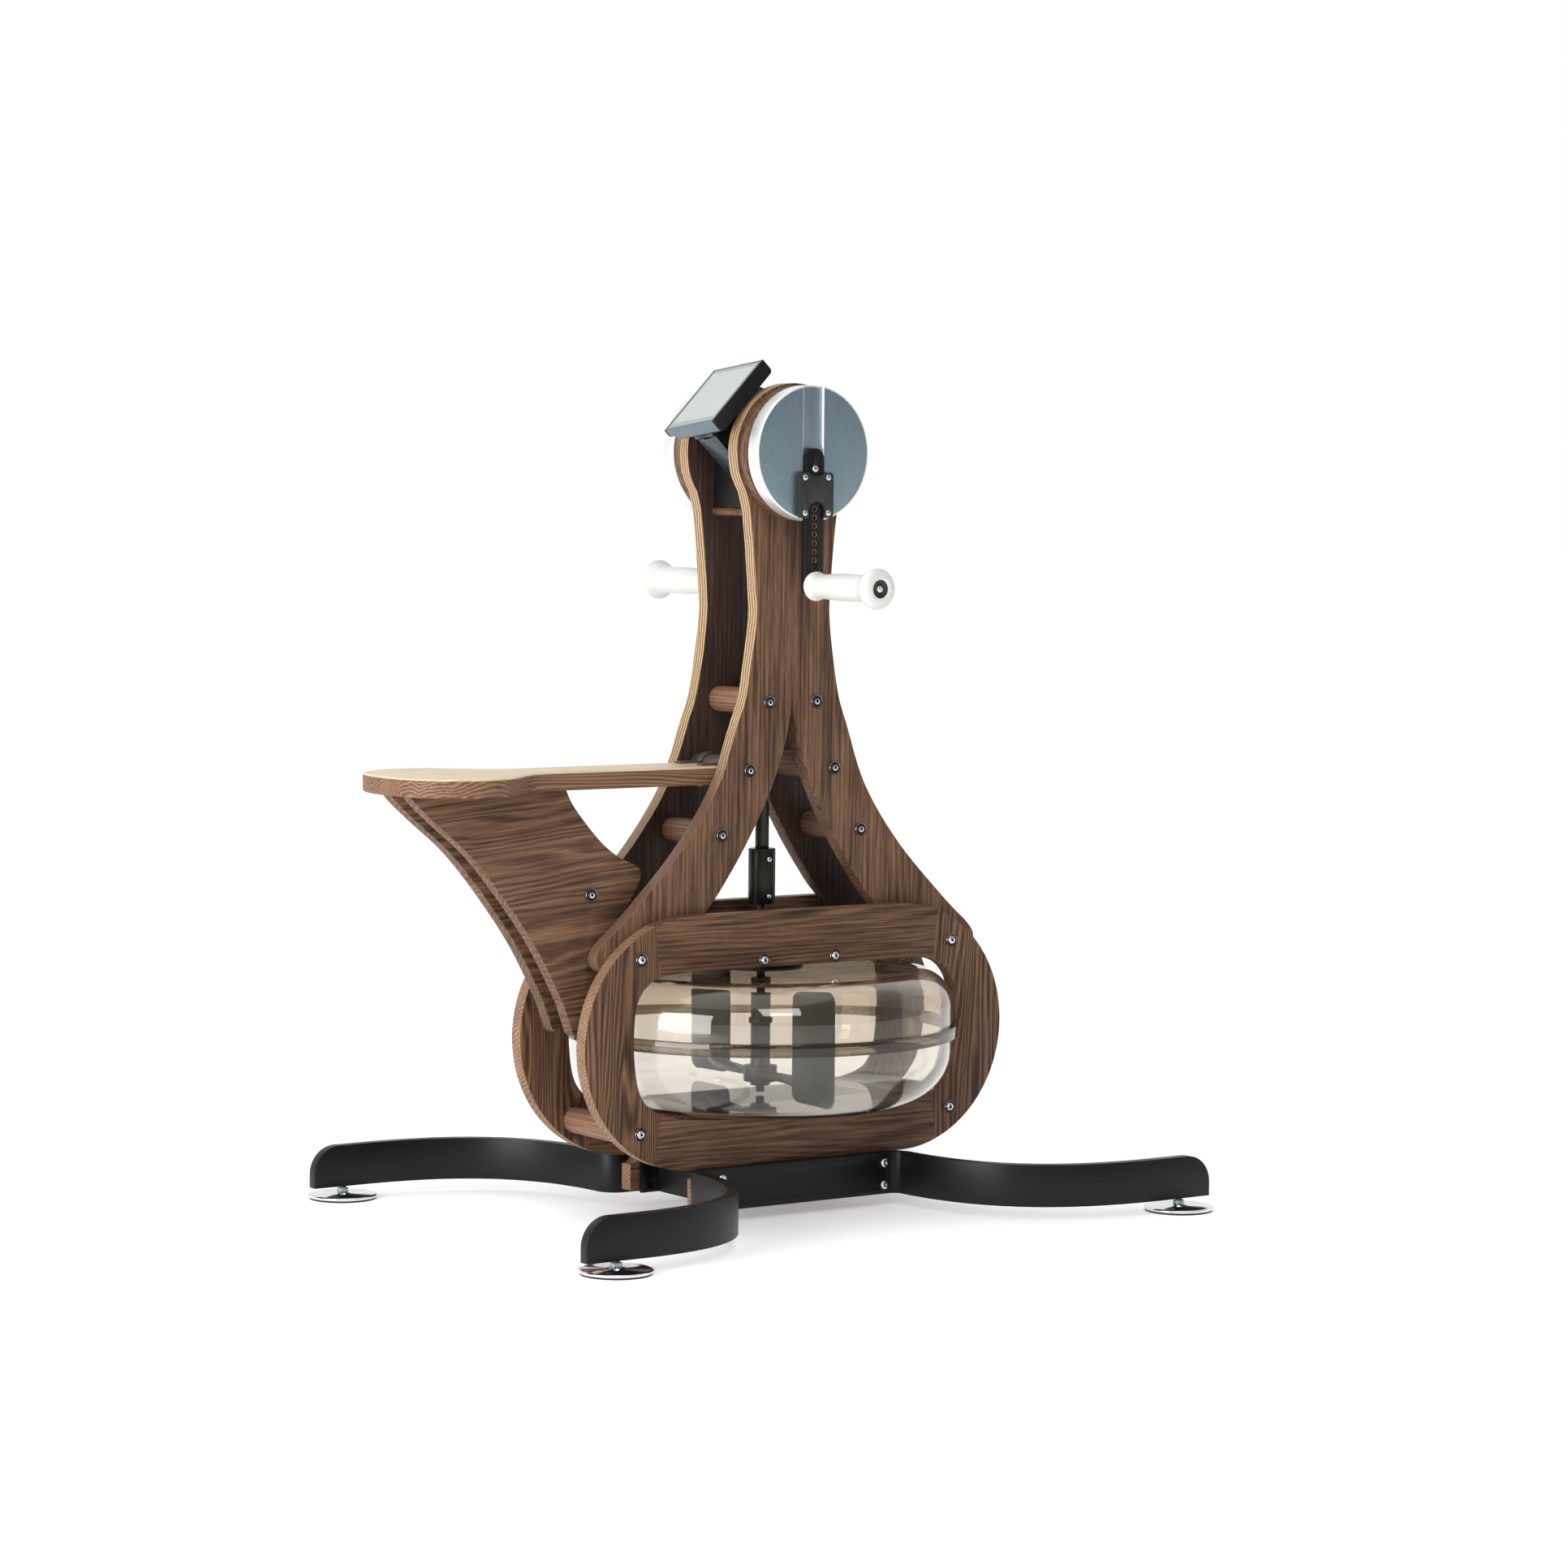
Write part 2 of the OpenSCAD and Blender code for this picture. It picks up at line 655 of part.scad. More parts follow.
module display_screen() {
    color("gainsboro") display_frame()
        translate([0.2, 4.3 - display_w / 2, 4.3 - display_h / 2]) cube([1.3, display_w - 8.6, display_h - 8.6]);
}

// ---- crank: axle, discs, crown gear, clamp plates
module crank_axle() {
    color("silver") place() rod_y([0, crank_z], -disc_in, 2 * disc_in, axle_r);
}

module disc(side) {
    color("#8d9aa0") place() difference() {
        side_rod(side, [0, crank_z], disc_in, disc_t, disc_r);
        side_slab(side, arm_in - slide_gap, arm_t + 2) {
            translate([-arm_w / 2 - slide_gap, crank_z - disc_r - 1])
                square([arm_w + 2 * slide_gap, 2 * disc_r + 2]);
        }
        for (sx = [-1, 1], sz = [-1, 1])
            side_rod(side, [sx * plate_screw.x, plate_z0 + plate_h / 2 + sz * plate_screw.y],
                disc_out - 10, 12, 2.4);
    }
}

module right_disc() { disc(-1); }
module left_disc() { disc(1); }

crown_teeth = 24;
pinion_teeth = 12;
gear_pitch_r = 40;
tooth_w = 4;
tooth_play = 1.6;
crown_tip_y = 19.5;
module crown_gear() {
    color("goldenrod") place() difference() {
        union() {
            rod_y([0, crank_z], 26, 8, gear_pitch_r + 5);
            translate([0, 0, crank_z]) for (i = [0:crown_teeth - 1])
                rotate([0, (i + 0.5) * 360 / crown_teeth, 0])
                    translate([-tooth_w / 2, crown_tip_y, -gear_pitch_r - 5]) cube([tooth_w, 7, 11]);
        }
        rod_y([0, crank_z], 18, 20, axle_r);
    }
}

module pinion() {
    color("goldenrod") place() translate([0, 0, crank_z - gear_pitch_r - 5]) difference() {
        union() {
            cylinder(h = 11, r = 17);
            for (i = [0:pinion_teeth - 1]) rotate(i * 360 / pinion_teeth)
                translate([15, (tooth_play - tooth_w) / 2, 0]) cube([7, tooth_w - tooth_play, 11]);
        }
        translate([0, 0, -1]) cylinder(h = 13, r = shaft_r - 2);
    }
}

arch_half = 13.5;
module clamp_outline() {
    difference() {
        translate([-plate_w / 2, plate_z0]) {
            translate([6, 0]) square([plate_w - 12, plate_h]);
            translate([0, 6]) square([plate_w, plate_h - 12]);
            for (x = [6, plate_w - 6], z = [6, plate_h - 6]) translate([x, z]) circle(6);
        }
        translate([0, plate_z0 + plate_h + 14]) circle(19.5);
        translate([-arch_half, plate_z0 - 1]) square([2 * arch_half, 10.5]);
        translate([0, plate_z0 + 9.5]) circle(arch_half);
        for (sx = [-1, 1], sz = [-1, 1])
            translate([sx * plate_screw.x, plate_z0 + plate_h / 2 + sz * plate_screw.y]) circle(2.4);
    }
}

module clamp_plates() {
    color("#3b3e3a") place() for (side = [-1, 1]) difference() {
        side_slab(side, disc_out, plate_out - disc_out) clamp_outline();
        side_slab(side, disc_out - 1, arm_proud + slide_gap + 1)
            translate([-arm_w / 2 - slide_gap, plate_z0 - 1]) square([arm_w + 2 * slide_gap, plate_h + 2]);
    }
}

module clamp_screws() {
    color("silver") place() for (side = [-1, 1], sx = [-1, 1], sz = [-1, 1]) {
        at = [sx * plate_screw.x, plate_z0 + plate_h / 2 + sz * plate_screw.y];
        side_rod(side, at, disc_out - 9.5, plate_out - disc_out + 9.5, 2.3);
        side_rod(side, at, plate_out, 1.6, 4);
    }
}

// ---- arms with their bushes, spindles and grips
hole_r = 3.6;
bush_count = 8;
function bush_z(i) = handle_z + 36 + i * hole_pitch;
stop_z = plate_z0 + plate_h + 4.8;

module arm_shape() {
    difference() {
        union() {
            translate([-arm_w / 2, handle_z]) square([arm_w, arm_top_z - arm_w / 2 - handle_z]);
            translate([0, handle_z]) circle(d = arm_w);
            translate([0, arm_top_z - arm_w / 2]) circle(d = arm_w);
        }
        translate([0, handle_z]) circle(spindle_r);
        for (i = [0:bush_count - 1]) translate([0, bush_z(i)]) circle(hole_r);
    }
}

module arm(side) {
    color("#151515") place() difference() {
        side_slab(side, arm_in, arm_t) arm_shape();
        side_rod(side, [0, stop_z], arm_out - 6, 7, 2.5);
    }
}

module bushes(side) {
    color("goldenrod") place() {
        side_slab(side, arm_in + 0.5, arm_t - 0.5)
            for (i = [0:bush_count - 1]) translate([0, bush_z(i)]) difference() {
                circle(hole_r);
                circle(hole_r - 1.1);
            }
        side_rod(side, [0, stop_z], arm_out - 6, 6, 2.5);
        side_rod(side, [0, stop_z], arm_out, 2, 4.8);
    }
}

module spindle(side) {
    color("silver") place() {
        side_rod(side, [0, handle_z], arm_in, grip_out - arm_in - 8, spindle_r);
        side_rod(side, [0, handle_z], grip_out - 8, 3, 9);
    }
}

// grip outline: distance along the spindle against radius
function grip_profile() = curve([[0, spindle_r + 10], [1.5, 19.6], [5, 20.5], [9, 19.6], [15, 17.6], [30, 17.6],
    [grip_len * 0.45, 19.5], [grip_len * 0.7, 19], [grip_len * 0.82, 20.5], [grip_len * 0.885, 26],
    [grip_len * 0.94, grip_end_r], [grip_len * 0.985, grip_end_r - 4.5], [grip_len, 15]], 4);

module grip(side) {
    color("whitesmoke") place() translate([0, side * grip_in, handle_z]) rotate([side < 0 ? 90 : -90, 0, 0]) {
        difference() {
            rotate_extrude($fn = 96) polygon(concat([[0, 0]], [for (p = grip_profile()) [p.y, p.x]],
                [[0, grip_len]]));
            translate([0, 0, -1]) cylinder(h = grip_len + 2, r = spindle_r + run_gap);
            translate([0, 0, grip_len - 8.4]) cylinder(h = 10, r = 12.5);
        }
        translate([0, 0, grip_len - 4]) cylinder(h = 3, r = 12.3);
    }
}

module right_arm() { arm(-1); }
module left_arm() { arm(1); }
module right_bushes() { bushes(-1); }
module left_bushes() { bushes(1); }
module right_spindle() { spindle(-1); }
module left_spindle() { spindle(1); }
module right_grip() { grip(-1); }
module left_grip() { grip(1); }

// ---- upright drive: tube, sleeve, paddle
module drive_shaft() {
    color("#56584c") place() {
        translate([0, 0, sleeve_z0 + sleeve_h - 10]) cylinder(h = housing_z0 + 12 - sleeve_z0 - sleeve_h + 10, r = shaft_r);
        translate([0, 0, housing_z0 + 12 - 0.5]) cylinder(h = crank_z - gear_pitch_r + 6 - housing_z0 - 11.5,
            r = shaft_r - 2);
    }
}

module shaft_sleeve() {
    color("#4a4d42") place() translate([0, 0, sleeve_z0]) difference() {
        cylinder(h = sleeve_h, r = sleeve_r);
        translate([0, 0, sleeve_h - 10]) cylinder(h = 11, r = shaft_r);
        translate([0, 0, -1]) cylinder(h = 11, r = spindle_low_r);
    }
}

blade_at_r = 198;
blade_top = tank_top - 13;
blade_low = tank_bottom + 18;
blade_turn = 77;
blade_twist = 16;
hub_z = tank_bottom + 38;

// a swept arm from the hub out to its blade, in plan
module paddle_arm() {
    near = bezier([18, 12], [70, 34], [130, 26], [blade_at_r + 6, 3], 10);
    far = bezier([blade_at_r + 6, -3], [120, 2], [70, 6], [20, -12], 10);
    polygon(concat(near, far));
}

module paddle() {
    color("#4c4a44") place() {
        translate([0, 0, tank_bottom + 9]) cylinder(h = sleeve_z0 + 10 - tank_bottom - 9, r = spindle_low_r);
        translate([0, 0, hub_z - 18]) cylinder(h = tank_top - 20 - hub_z + 18, r = 14);
        translate([0, 0, hub_z - 12]) cylinder(h = 24, r = 24);
        translate([0, 0, tank_z + 6]) cylinder(h = 8, r = 17);
        for (i = [0:blade_count - 1]) rotate(blade_turn + i * 360 / blade_count) {
            translate([0, 0, hub_z - 4]) linear_extrude(8) paddle_arm();
            translate([blade_at_r, 0, 0]) rotate(blade_twist) translate([0, 2, 0]) rotate([90, 0, 0])
                linear_extrude(4) translate([0, (blade_top + blade_low) / 2])
                    round_box(blade_w, blade_top - blade_low, 16);
        }
    }
}

// ---- seat
function seat_edge() = curve([[0, 0], [1, 30], [15, seat_w * 0.31], [49, seat_w * 0.447], [92, seat_w / 2],
    [130, seat_w * 0.477], [160, seat_w * 0.39], [186, (seat_w / 2 - tongue_half) * 0.3 + tongue_half],
    [212, tongue_half + 4], [240, tongue_half]]);

module seat_board() {
    half = [for (p = seat_edge()) [seat_front + p.x, p.y]];
    color("tan") place() translate([0, 0, seat_low]) linear_extrude(seat_t)
        polygon(concat([for (i = [len(half) - 1:-1:1]) [half[i].x, -half[i].y]], half,
            [[seat_rear, tongue_half], [seat_rear, -tongue_half]]));
}

function bracket_edge() = concat(
    curve([[-601, seat_low], [-587, seat_low - 15], [-556, seat_low - 42], [-505, seat_low - 85],
        [-454, seat_low - 143], [-401, seat_low - 214.5], [-362, seat_low - 284], [-348, seat_low - 316],
        [-341, seat_low - 336], [-334, seat_low - 341], [-326, seat_low - 335]], 4),
    curve([[-318, seat_low - 310], [-300, seat_low - 262], [-288, seat_low - 230], [-263, seat_low - 185],
        [-236, seat_low - 138], [-229.5, seat_low - 120], [-235, seat_low - 110.5], [-251, seat_low - 103],
        [-270, seat_low - 93.5], [-291, seat_low - 78], [-311, seat_low - 58], [-331, seat_low - 35],
        [-344, seat_low - 17.5], [-353, seat_low]], 4));

module seat_brackets() {
    color("peru") place() for (side = [-1, 1]) side_slab(side, bracket_in, board_t) difference() {
        polygon(bracket_edge());
        translate([-corner_bolt_x, corner_top]) circle(rod_r + slide_gap);
        translate(bracket_at) circle(bolt_r + bolt_gap);
    }
}

module seat_bolts() {
    color("silver") place() {
        difference() {
            rod_y(bracket_at, -bracket_in, 2 * bracket_in, 12);
            for (side = [-1, 1]) side_rod(side, bracket_at, 1, bracket_in, bolt_r + bolt_gap);
        }
        for (side = [-1, 1]) translate([bracket_at.x, side * (bracket_in + board_t), bracket_at.y])
            rotate([side < 0 ? 90 : -90, 0, 0]) difference() {
                union() {
                    translate([0, 0, -board_t - 12]) cylinder(h = board_t + 13, r = bolt_r);
                    cylinder(h = 2.5, r = cup_r);
                    translate([0, 0, 1]) cylinder(h = 3, r1 = 6.2, r2 = 5);
                }
                translate([0, 0, 2]) cylinder(h = 3, r = 2.6, $fn = 6);
            }
    }
}

hook_t = 3;
hook_w = 14;
hook_y = 28;
module seat_hooks() {
    color("silver") place() for (y = [-hook_y, hook_y]) difference() {
        slab(y - hook_w / 2, hook_w) {
            difference() {
                translate([-hook_at.x, hook_at.y]) circle(rod_r + run_gap + hook_t);
                translate([-hook_at.x, seat_low - 30]) square([60, 90]);
                translate([seat_rear - 6, seat_low]) square([7, seat_t]);
            }
            translate([seat_rear - 34, seat_top]) square([38, hook_t]);
            translate([seat_rear - 34, seat_low - hook_t]) square([38, hook_t]);
        }
        rod_y([-hook_at.x, hook_at.y], -column_in, 2 * column_in, rod_r + run_gap);
    }
}

// ---- levelling feet
stud_r = 5;
stud_up = 22;
module foot(sx, side) {
    color("silver") place() translate([sx * foot_reach, side * foot_spread, 0]) {
        cylinder(h = pad_rubber_t, r = pad_r - 1.5);
        translate([0, 0, pad_rubber_t]) cylinder(h = pad_disc_t, r = pad_r);
        translate([0, 0, pad_rubber_t + pad_disc_t]) cylinder(h = bar_clear - pad_rubber_t - pad_disc_t - 1.2, r = 8.5,
            $fn = 6);
        translate([0, 0, pad_rubber_t]) cylinder(h = bar_clear + stud_up - foot_travel / 2 - pad_rubber_t - 6, r = stud_r);
    }
}

module front_right_foot() { foot(-1, -1); }
module front_left_foot() { foot(-1, 1); }
module rear_right_foot() { foot(1, -1); }
module rear_left_foot() { foot(1, 1); }

right_panel_ends();
left_panel_ends();
right_panel_rails();
left_panel_rails();
right_column();
left_column();
column_rods();
hook_rod();
panel_rods();
shaft_bridge();
bearings();
runners();
right_leg_bar();
left_leg_bar();
cross_members();
tank_shelf();
panel_bolts();
column_bolts();
leg_bolts();
gear_housing();
gear_shelf();
axle_bosses();
tank_upper_shell();
tank_lower_shell();
tank_ring();
tank_flange();
flange_screws();
display_bracket();
crank_axle();
right_disc();
left_disc();
crown_gear();
clamp_plates();
clamp_screws();
right_arm();
left_arm();
right_bushes();
left_bushes();
right_spindle();
left_spindle();
right_grip();
left_grip();
drive_shaft();
shaft_sleeve();
pinion();
paddle();
display_case();
display_screen();
seat_board();
seat_brackets();
seat_bolts();
seat_hooks();
front_right_foot();
front_left_foot();
rear_right_foot();
rear_left_foot();
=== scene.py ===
# %% [markdown]
# # Upper-body crank trainer with a water tank
# The machine is a wooden A-frame that stands on two bent steel bars. Two hand cranks turn an
# upright shaft, and the shaft turns a paddle in a clear tank. The CAD model already has every size,
# so this script loads it as a frame and gives each piece its real edges, details and finish.
# %% Load the frame
import json
import math

import bmesh
import bpy
from mathutils import Matrix, Vector

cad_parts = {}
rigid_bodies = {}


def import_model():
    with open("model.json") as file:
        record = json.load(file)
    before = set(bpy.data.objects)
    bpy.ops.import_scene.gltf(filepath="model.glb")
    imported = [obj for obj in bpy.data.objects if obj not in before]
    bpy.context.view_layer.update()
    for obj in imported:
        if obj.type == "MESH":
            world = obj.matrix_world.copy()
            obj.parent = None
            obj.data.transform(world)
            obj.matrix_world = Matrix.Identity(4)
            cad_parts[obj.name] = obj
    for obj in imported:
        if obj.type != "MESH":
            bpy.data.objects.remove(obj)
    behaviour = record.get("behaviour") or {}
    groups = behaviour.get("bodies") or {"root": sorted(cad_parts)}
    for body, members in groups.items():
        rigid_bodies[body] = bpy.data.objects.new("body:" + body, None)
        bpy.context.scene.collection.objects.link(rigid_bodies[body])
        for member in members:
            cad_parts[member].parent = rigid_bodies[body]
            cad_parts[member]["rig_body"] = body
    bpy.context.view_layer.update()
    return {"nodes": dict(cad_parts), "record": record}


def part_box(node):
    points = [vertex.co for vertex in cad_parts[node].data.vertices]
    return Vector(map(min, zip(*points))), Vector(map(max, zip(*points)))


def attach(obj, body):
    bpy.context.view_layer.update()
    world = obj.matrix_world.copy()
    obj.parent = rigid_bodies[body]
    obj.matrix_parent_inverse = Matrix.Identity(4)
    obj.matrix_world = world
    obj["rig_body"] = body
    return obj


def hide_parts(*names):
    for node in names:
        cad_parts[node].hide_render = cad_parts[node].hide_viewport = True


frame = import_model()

MM = 0.001
crank_low, crank_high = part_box("crank_axle")
AXIS_X = (crank_low.x + crank_high.x) / 2
CRANK_Z = (crank_low.z + crank_high.z) / 2
slot_of = {row["node"]: row["material_slot"] for row in frame["record"]["subparts"]}
print("crank axis at x", round(AXIS_X, 4), "z", round(CRANK_Z, 4))

# %% [markdown]
# ## Helpers for finishes
# A finish is a small graph of nodes. One function turns an sRGB hex value into the linear colour
# that the shader wants, and one adds a node with its settings and links. Every pattern reads Object
# coordinates, which are metres here, so a scale is 1000 divided by a real size in millimetres.
# %% Colour and node helpers


def paint(text):
    parts = [int(text[i : i + 2], 16) / 255 for i in (1, 3, 5)]
    return [p / 12.92 if p <= 0.04045 else ((p + 0.055) / 1.055) ** 2.4 for p in parts] + [1.0]


def add(tree, kind, settings=None, links=None):
    node = tree.nodes.new("ShaderNode" + kind)
    for name, value in (settings or {}).items():
        if isinstance(name, int) or name in node.inputs:
            node.inputs[name].default_value = value
        else:
            setattr(node, name, value)
    for name, source in (links or {}).items():
        tree.links.new(source, node.inputs[name])
    return node


def new_finish(name, **shader):
    finish = bpy.data.materials.new(name)
    finish.use_nodes = True
    tree = finish.node_tree
    surface = tree.nodes["Principled BSDF"]
    for socket, value in shader.items():
        surface.inputs[socket.replace("_", " ")].default_value = value
    return finish, tree, surface


def ramp(tree, fac, stops):
    node = add(tree, "ValToRGB", links={"Fac": fac})
    band = node.color_ramp
    while len(band.elements) < len(stops):
        band.elements.new(0.5)
    for element, (place, text) in zip(band.elements, stops):
        element.position, element.color = place, paint(text)
    return node.outputs["Color"]


def per_m(size_mm):
    return 1000 / size_mm


def sum_of(tree, a, b, gain=1.0):
    scaled = add(tree, "Math", {"operation": "MULTIPLY", 1: gain}, {0: b})
    return add(tree, "Math", {"operation": "ADD"}, {0: a, 1: scaled.outputs[0]}).outputs[0]


def bump(tree, surface, height, depth_mm, strength=1.0):
    node = add(tree, "Bump", {"Distance": depth_mm * MM, "Strength": strength}, {"Height": height})
    tree.links.new(node.outputs["Normal"], surface.inputs["Normal"])


print("finish helpers ready")

# %% [markdown]
# ## Stained ash
# The boards are ash, a wood with open rings of pores, stained walnut brown and oiled. The stain
# sinks into the pores, so the eye sees dark broken lines along the grain on a mid-brown face. The
# rings are a sine across the grain that a stretched noise pushes about. Three noises drawn out
# along the grain add long lines, fine pores and wide patches. Grain runs the long way of each board.
# %% Wood finishes


def grain_space(tree, along, tilt_deg=0.0, offset=0.0):
    place = add(tree, "TexCoord").outputs["Object"]
    middle = (-AXIS_X + offset, 0.003 * offset, offset)
    centred = add(tree, "Mapping", {"Location": middle}, {"Vector": place})
    vector = centred.outputs["Vector"]
    turn = {"X": (0, 0, 0), "Z": (0, math.pi / 2, 0), "Y": (0, 0, math.pi / 2)}[along]
    turned = add(
        tree,
        "Mapping",
        {"vector_type": "TEXTURE", "Rotation": (turn[0], turn[1] + math.radians(tilt_deg), turn[2])},
        {"Vector": vector},
    )
    return turned.outputs["Vector"]  # the grain now runs along this space's X


def stretched(tree, vector, length):
    node = add(tree, "Mapping", {"vector_type": "TEXTURE", "Scale": (length, 1, 1)}, {"Vector": vector})
    return node.outputs["Vector"]


def ash(name, along, stops, ring_mm=7.0, wander_mm=16.0, rings_gain=0.25, line_mm=2.4, tilt_deg=0.0,
        offset=0.0, gloss=0.5):
    finish, tree, surface = new_finish(name, IOR=1.45, Specular_IOR_Level=0.35)
    space = grain_space(tree, along, tilt_deg, offset)
    drift = add(tree, "TexNoise", {"Scale": per_m(70), "Detail": 2.0, "Roughness": 0.45},
                {"Vector": stretched(tree, space, 9)})
    parts = add(tree, "SeparateXYZ", links={"Vector": space})
    across = sum_of(tree, parts.outputs["Z"], parts.outputs["Y"], 0.55)
    pushed = sum_of(tree, across, drift.outputs["Fac"], wander_mm * 4 * MM)
    turns = add(tree, "Math", {"operation": "MULTIPLY", 1: 2 * math.pi * per_m(ring_mm)}, {0: pushed})
    wave = add(tree, "Math", {"operation": "SINE"}, {0: turns.outputs[0]})
    rings = add(
        tree, "MapRange", {"From Min": -1.0, "From Max": 1.0}, {"Value": wave.outputs[0]}
    ).outputs["Result"]

    def streaks(size_mm, length, low, high, detail):
        noise = add(tree, "TexNoise", {"Scale": per_m(size_mm), "Detail": detail, "Roughness": 0.6},
                    {"Vector": stretched(tree, space, length)})
        sharper = add(tree, "MapRange", {"From Min": low, "From Max": high}, {"Value": noise.outputs["Fac"]})
        return sharper.outputs["Result"]

    lines = streaks(line_mm, 44, 0.32, 0.64, 3.0)
    pores = streaks(0.8, 26, 0.28, 0.66, 2.0)
    patches = streaks(26, 8, 0.3, 0.7, 2.0)
    rest = 1.0 - rings_gain
    level = add(tree, "Math", {"operation": "MULTIPLY", 1: rings_gain}, {0: rings}).outputs[0]
    for part, share in ((lines, 0.5), (pores, 0.22), (patches, 0.28)):
        level = sum_of(tree, level, part, rest * share)
    tree.links.new(ramp(tree, level, stops), surface.inputs["Base Color"])
    rough = add(tree, "MapRange", {"To Min": gloss + 0.16, "To Max": gloss}, {"Value": lines})
    tree.links.new(rough.outputs["Result"], surface.inputs["Roughness"])
    bump(tree, surface, lines, 0.12, 0.5)
    return finish


WALNUT = [(0.16, "#291910"), (0.36, "#493122"), (0.6, "#674A36"), (0.9, "#86654A")]
PAINTED_SHADE_WALNUT = [(0.1, "#190F0D"), (0.4, "#2F1F1A"), (0.65, "#402D25"), (0.95, "#574136")]
# painted shade: the inward faces of both columns get a darker copy of the walnut stain for the shadow between
# them
painted_shade_inner_face = ash("painted_shade_ash_inner", "Z", PAINTED_SHADE_WALNUT, 9.0, 12.0, 0.16)
column_face = ash("walnut_stained_ash_column", "Z", WALNUT, 9.0, 12.0, 0.16)
panel_end_face = ash("walnut_stained_ash_upright", "Z", WALNUT, 7.5, 34.0, 0.42)
panel_rail_face = ash("walnut_stained_ash_rail", "X", WALNUT, 8.0, 18.0, 0.22, 1.9, offset=0.3)
board_face = ash("walnut_stained_ash_board", "X", WALNUT, 8.0, 18.0, 0.25, offset=0.7)
bracket_face = ash("walnut_stained_ash_bracket", "X", WALNUT, 15.0, 52.0, 0.3, 1.6, tilt_deg=-5, offset=0.5)
rod_face = ash("oiled_ash_rod", "Y", [(0.1, "#4A3326"), (0.45, "#765643"), (0.95, "#9C7A60")], 5.0, 8.0)
RIM = [(0.1, "#4A3426"), (0.4, "#765843"), (0.95, "#A38366")]
rim_face = ash("stained_ash_rim", "X", RIM, 6.0, 10.0, 0.3)
SEAT_RIM = [(0.1, "#3A281E"), (0.42, "#6B4E3B"), (0.95, "#946F54")]
seat_rim = ash("stained_ash_seat_rim", "X", SEAT_RIM, 5.0, 26.0, 0.5, offset=0.1)
PALE = [(0.05, "#B59A76"), (0.4, "#CDB694"), (1.0, "#E2D2B8")]
seat_face = ash("lacquered_pale_ash", "X", PALE, 7.0, 24.0, 0.3, offset=0.2, gloss=0.3)
print("wood finishes:", len(bpy.data.materials))

# %% [markdown]
# The long edges of the columns show the glued layers that they are pressed from. The layers lie
# across Y, so their lines follow every curve of the outline. The finish counts layers from the
# inner face out, and a little noise makes the lines wander as cut wood does. The edge is blond at
# the top and fades to brown toward the tank, between two heights in metres. This fade is painted
# light: blond where the left light falls on the edge and brown where the edge is shaded.
# %% Laminated edge


def laminated(name, inner_mm, layers, shaded_below, lit_above, board_mm=22.5):
    finish, tree, surface = new_finish(name, IOR=1.45, Roughness=0.5)
    place = add(tree, "TexCoord").outputs["Object"]
    parts = add(tree, "SeparateXYZ", links={"Vector": place})
    depth = add(tree, "Math", {"operation": "ABSOLUTE"}, {0: parts.outputs["Y"]})
    drift = add(tree, "TexNoise", {"Scale": per_m(50), "Detail": 2.0}, {"Vector": place})
    wavy = sum_of(tree, depth.outputs[0], drift.outputs["Fac"], 0.012)
    start = (inner_mm + 6) * MM
    count = add(
        tree, "MapRange",
        {"From Min": start, "From Max": start + board_mm * MM, "To Max": float(layers), "clamp": False},
        {"Value": wavy},
    )
    saw = add(tree, "Math", {"operation": "PINGPONG", 1: 0.5}, {0: count.outputs["Result"]})
    fine = add(tree, "TexNoise", {"Scale": per_m(0.9), "Detail": 3.0, "Roughness": 0.7},
               {"Vector": add(tree, "Mapping", {"vector_type": "TEXTURE", "Scale": (8, 1, 8)},
                              {"Vector": place}).outputs["Vector"]})
    toned = sum_of(tree, saw.outputs[0], fine.outputs["Fac"], 0.5)
    level = add(tree, "MapRange", {"From Min": 0.2, "From Max": 0.8}, {"Value": toned})
    blond = ramp(tree, level.outputs["Result"],
                 [(0.0, "#3A291D"), (0.25, "#6B5038"), (0.5, "#A08260"), (1.0, "#CFB389")])
    brown = ramp(tree, level.outputs["Result"], [(0.0, "#3A2822"), (0.3, "#5E443A"), (1.0, "#84644F")])
    # painted light: the layers fade with height from brown, where the edge is shaded, to blond, where the
    # left light falls on it
    height = add(
        tree, "MapRange", {"From Min": shaded_below, "From Max": lit_above}, {"Value": parts.outputs["Z"]}
    )
    painted_light_mix = add(tree, "Mix", {"data_type": "RGBA"}, {0: height.outputs["Result"]})
    tree.links.new(brown, painted_light_mix.inputs[6])
    tree.links.new(blond, painted_light_mix.inputs[7])
    tree.links.new(painted_light_mix.outputs[2], surface.inputs["Base Color"])
    bump(tree, surface, fine.outputs["Fac"], 0.15, 0.5)
    return finish


COLUMN_IN_MM, LAYERS = 50.5, 4
# painted light: each column gets its own brown-to-blond heights, because the two columns are lit differently
right_column_edge = laminated("laminated_ash_edge_right", COLUMN_IN_MM, LAYERS, 0.58, 0.70)
left_column_edge = laminated("laminated_ash_edge_left", COLUMN_IN_MM, LAYERS, 0.36, 0.60)
print("laminated edge ready")

# %% [markdown]
# ## Metal, moulding and glass finishes
# Metals keep the default index of refraction and get their look from metallic and roughness.
# Brushed metal has fine lines from the belt, drawn as a noise stretched along the brushing, and
# powder coat has a fine orange peel. Mouldings have a slight grain so that no surface is flat.
# %% Metals and mouldings


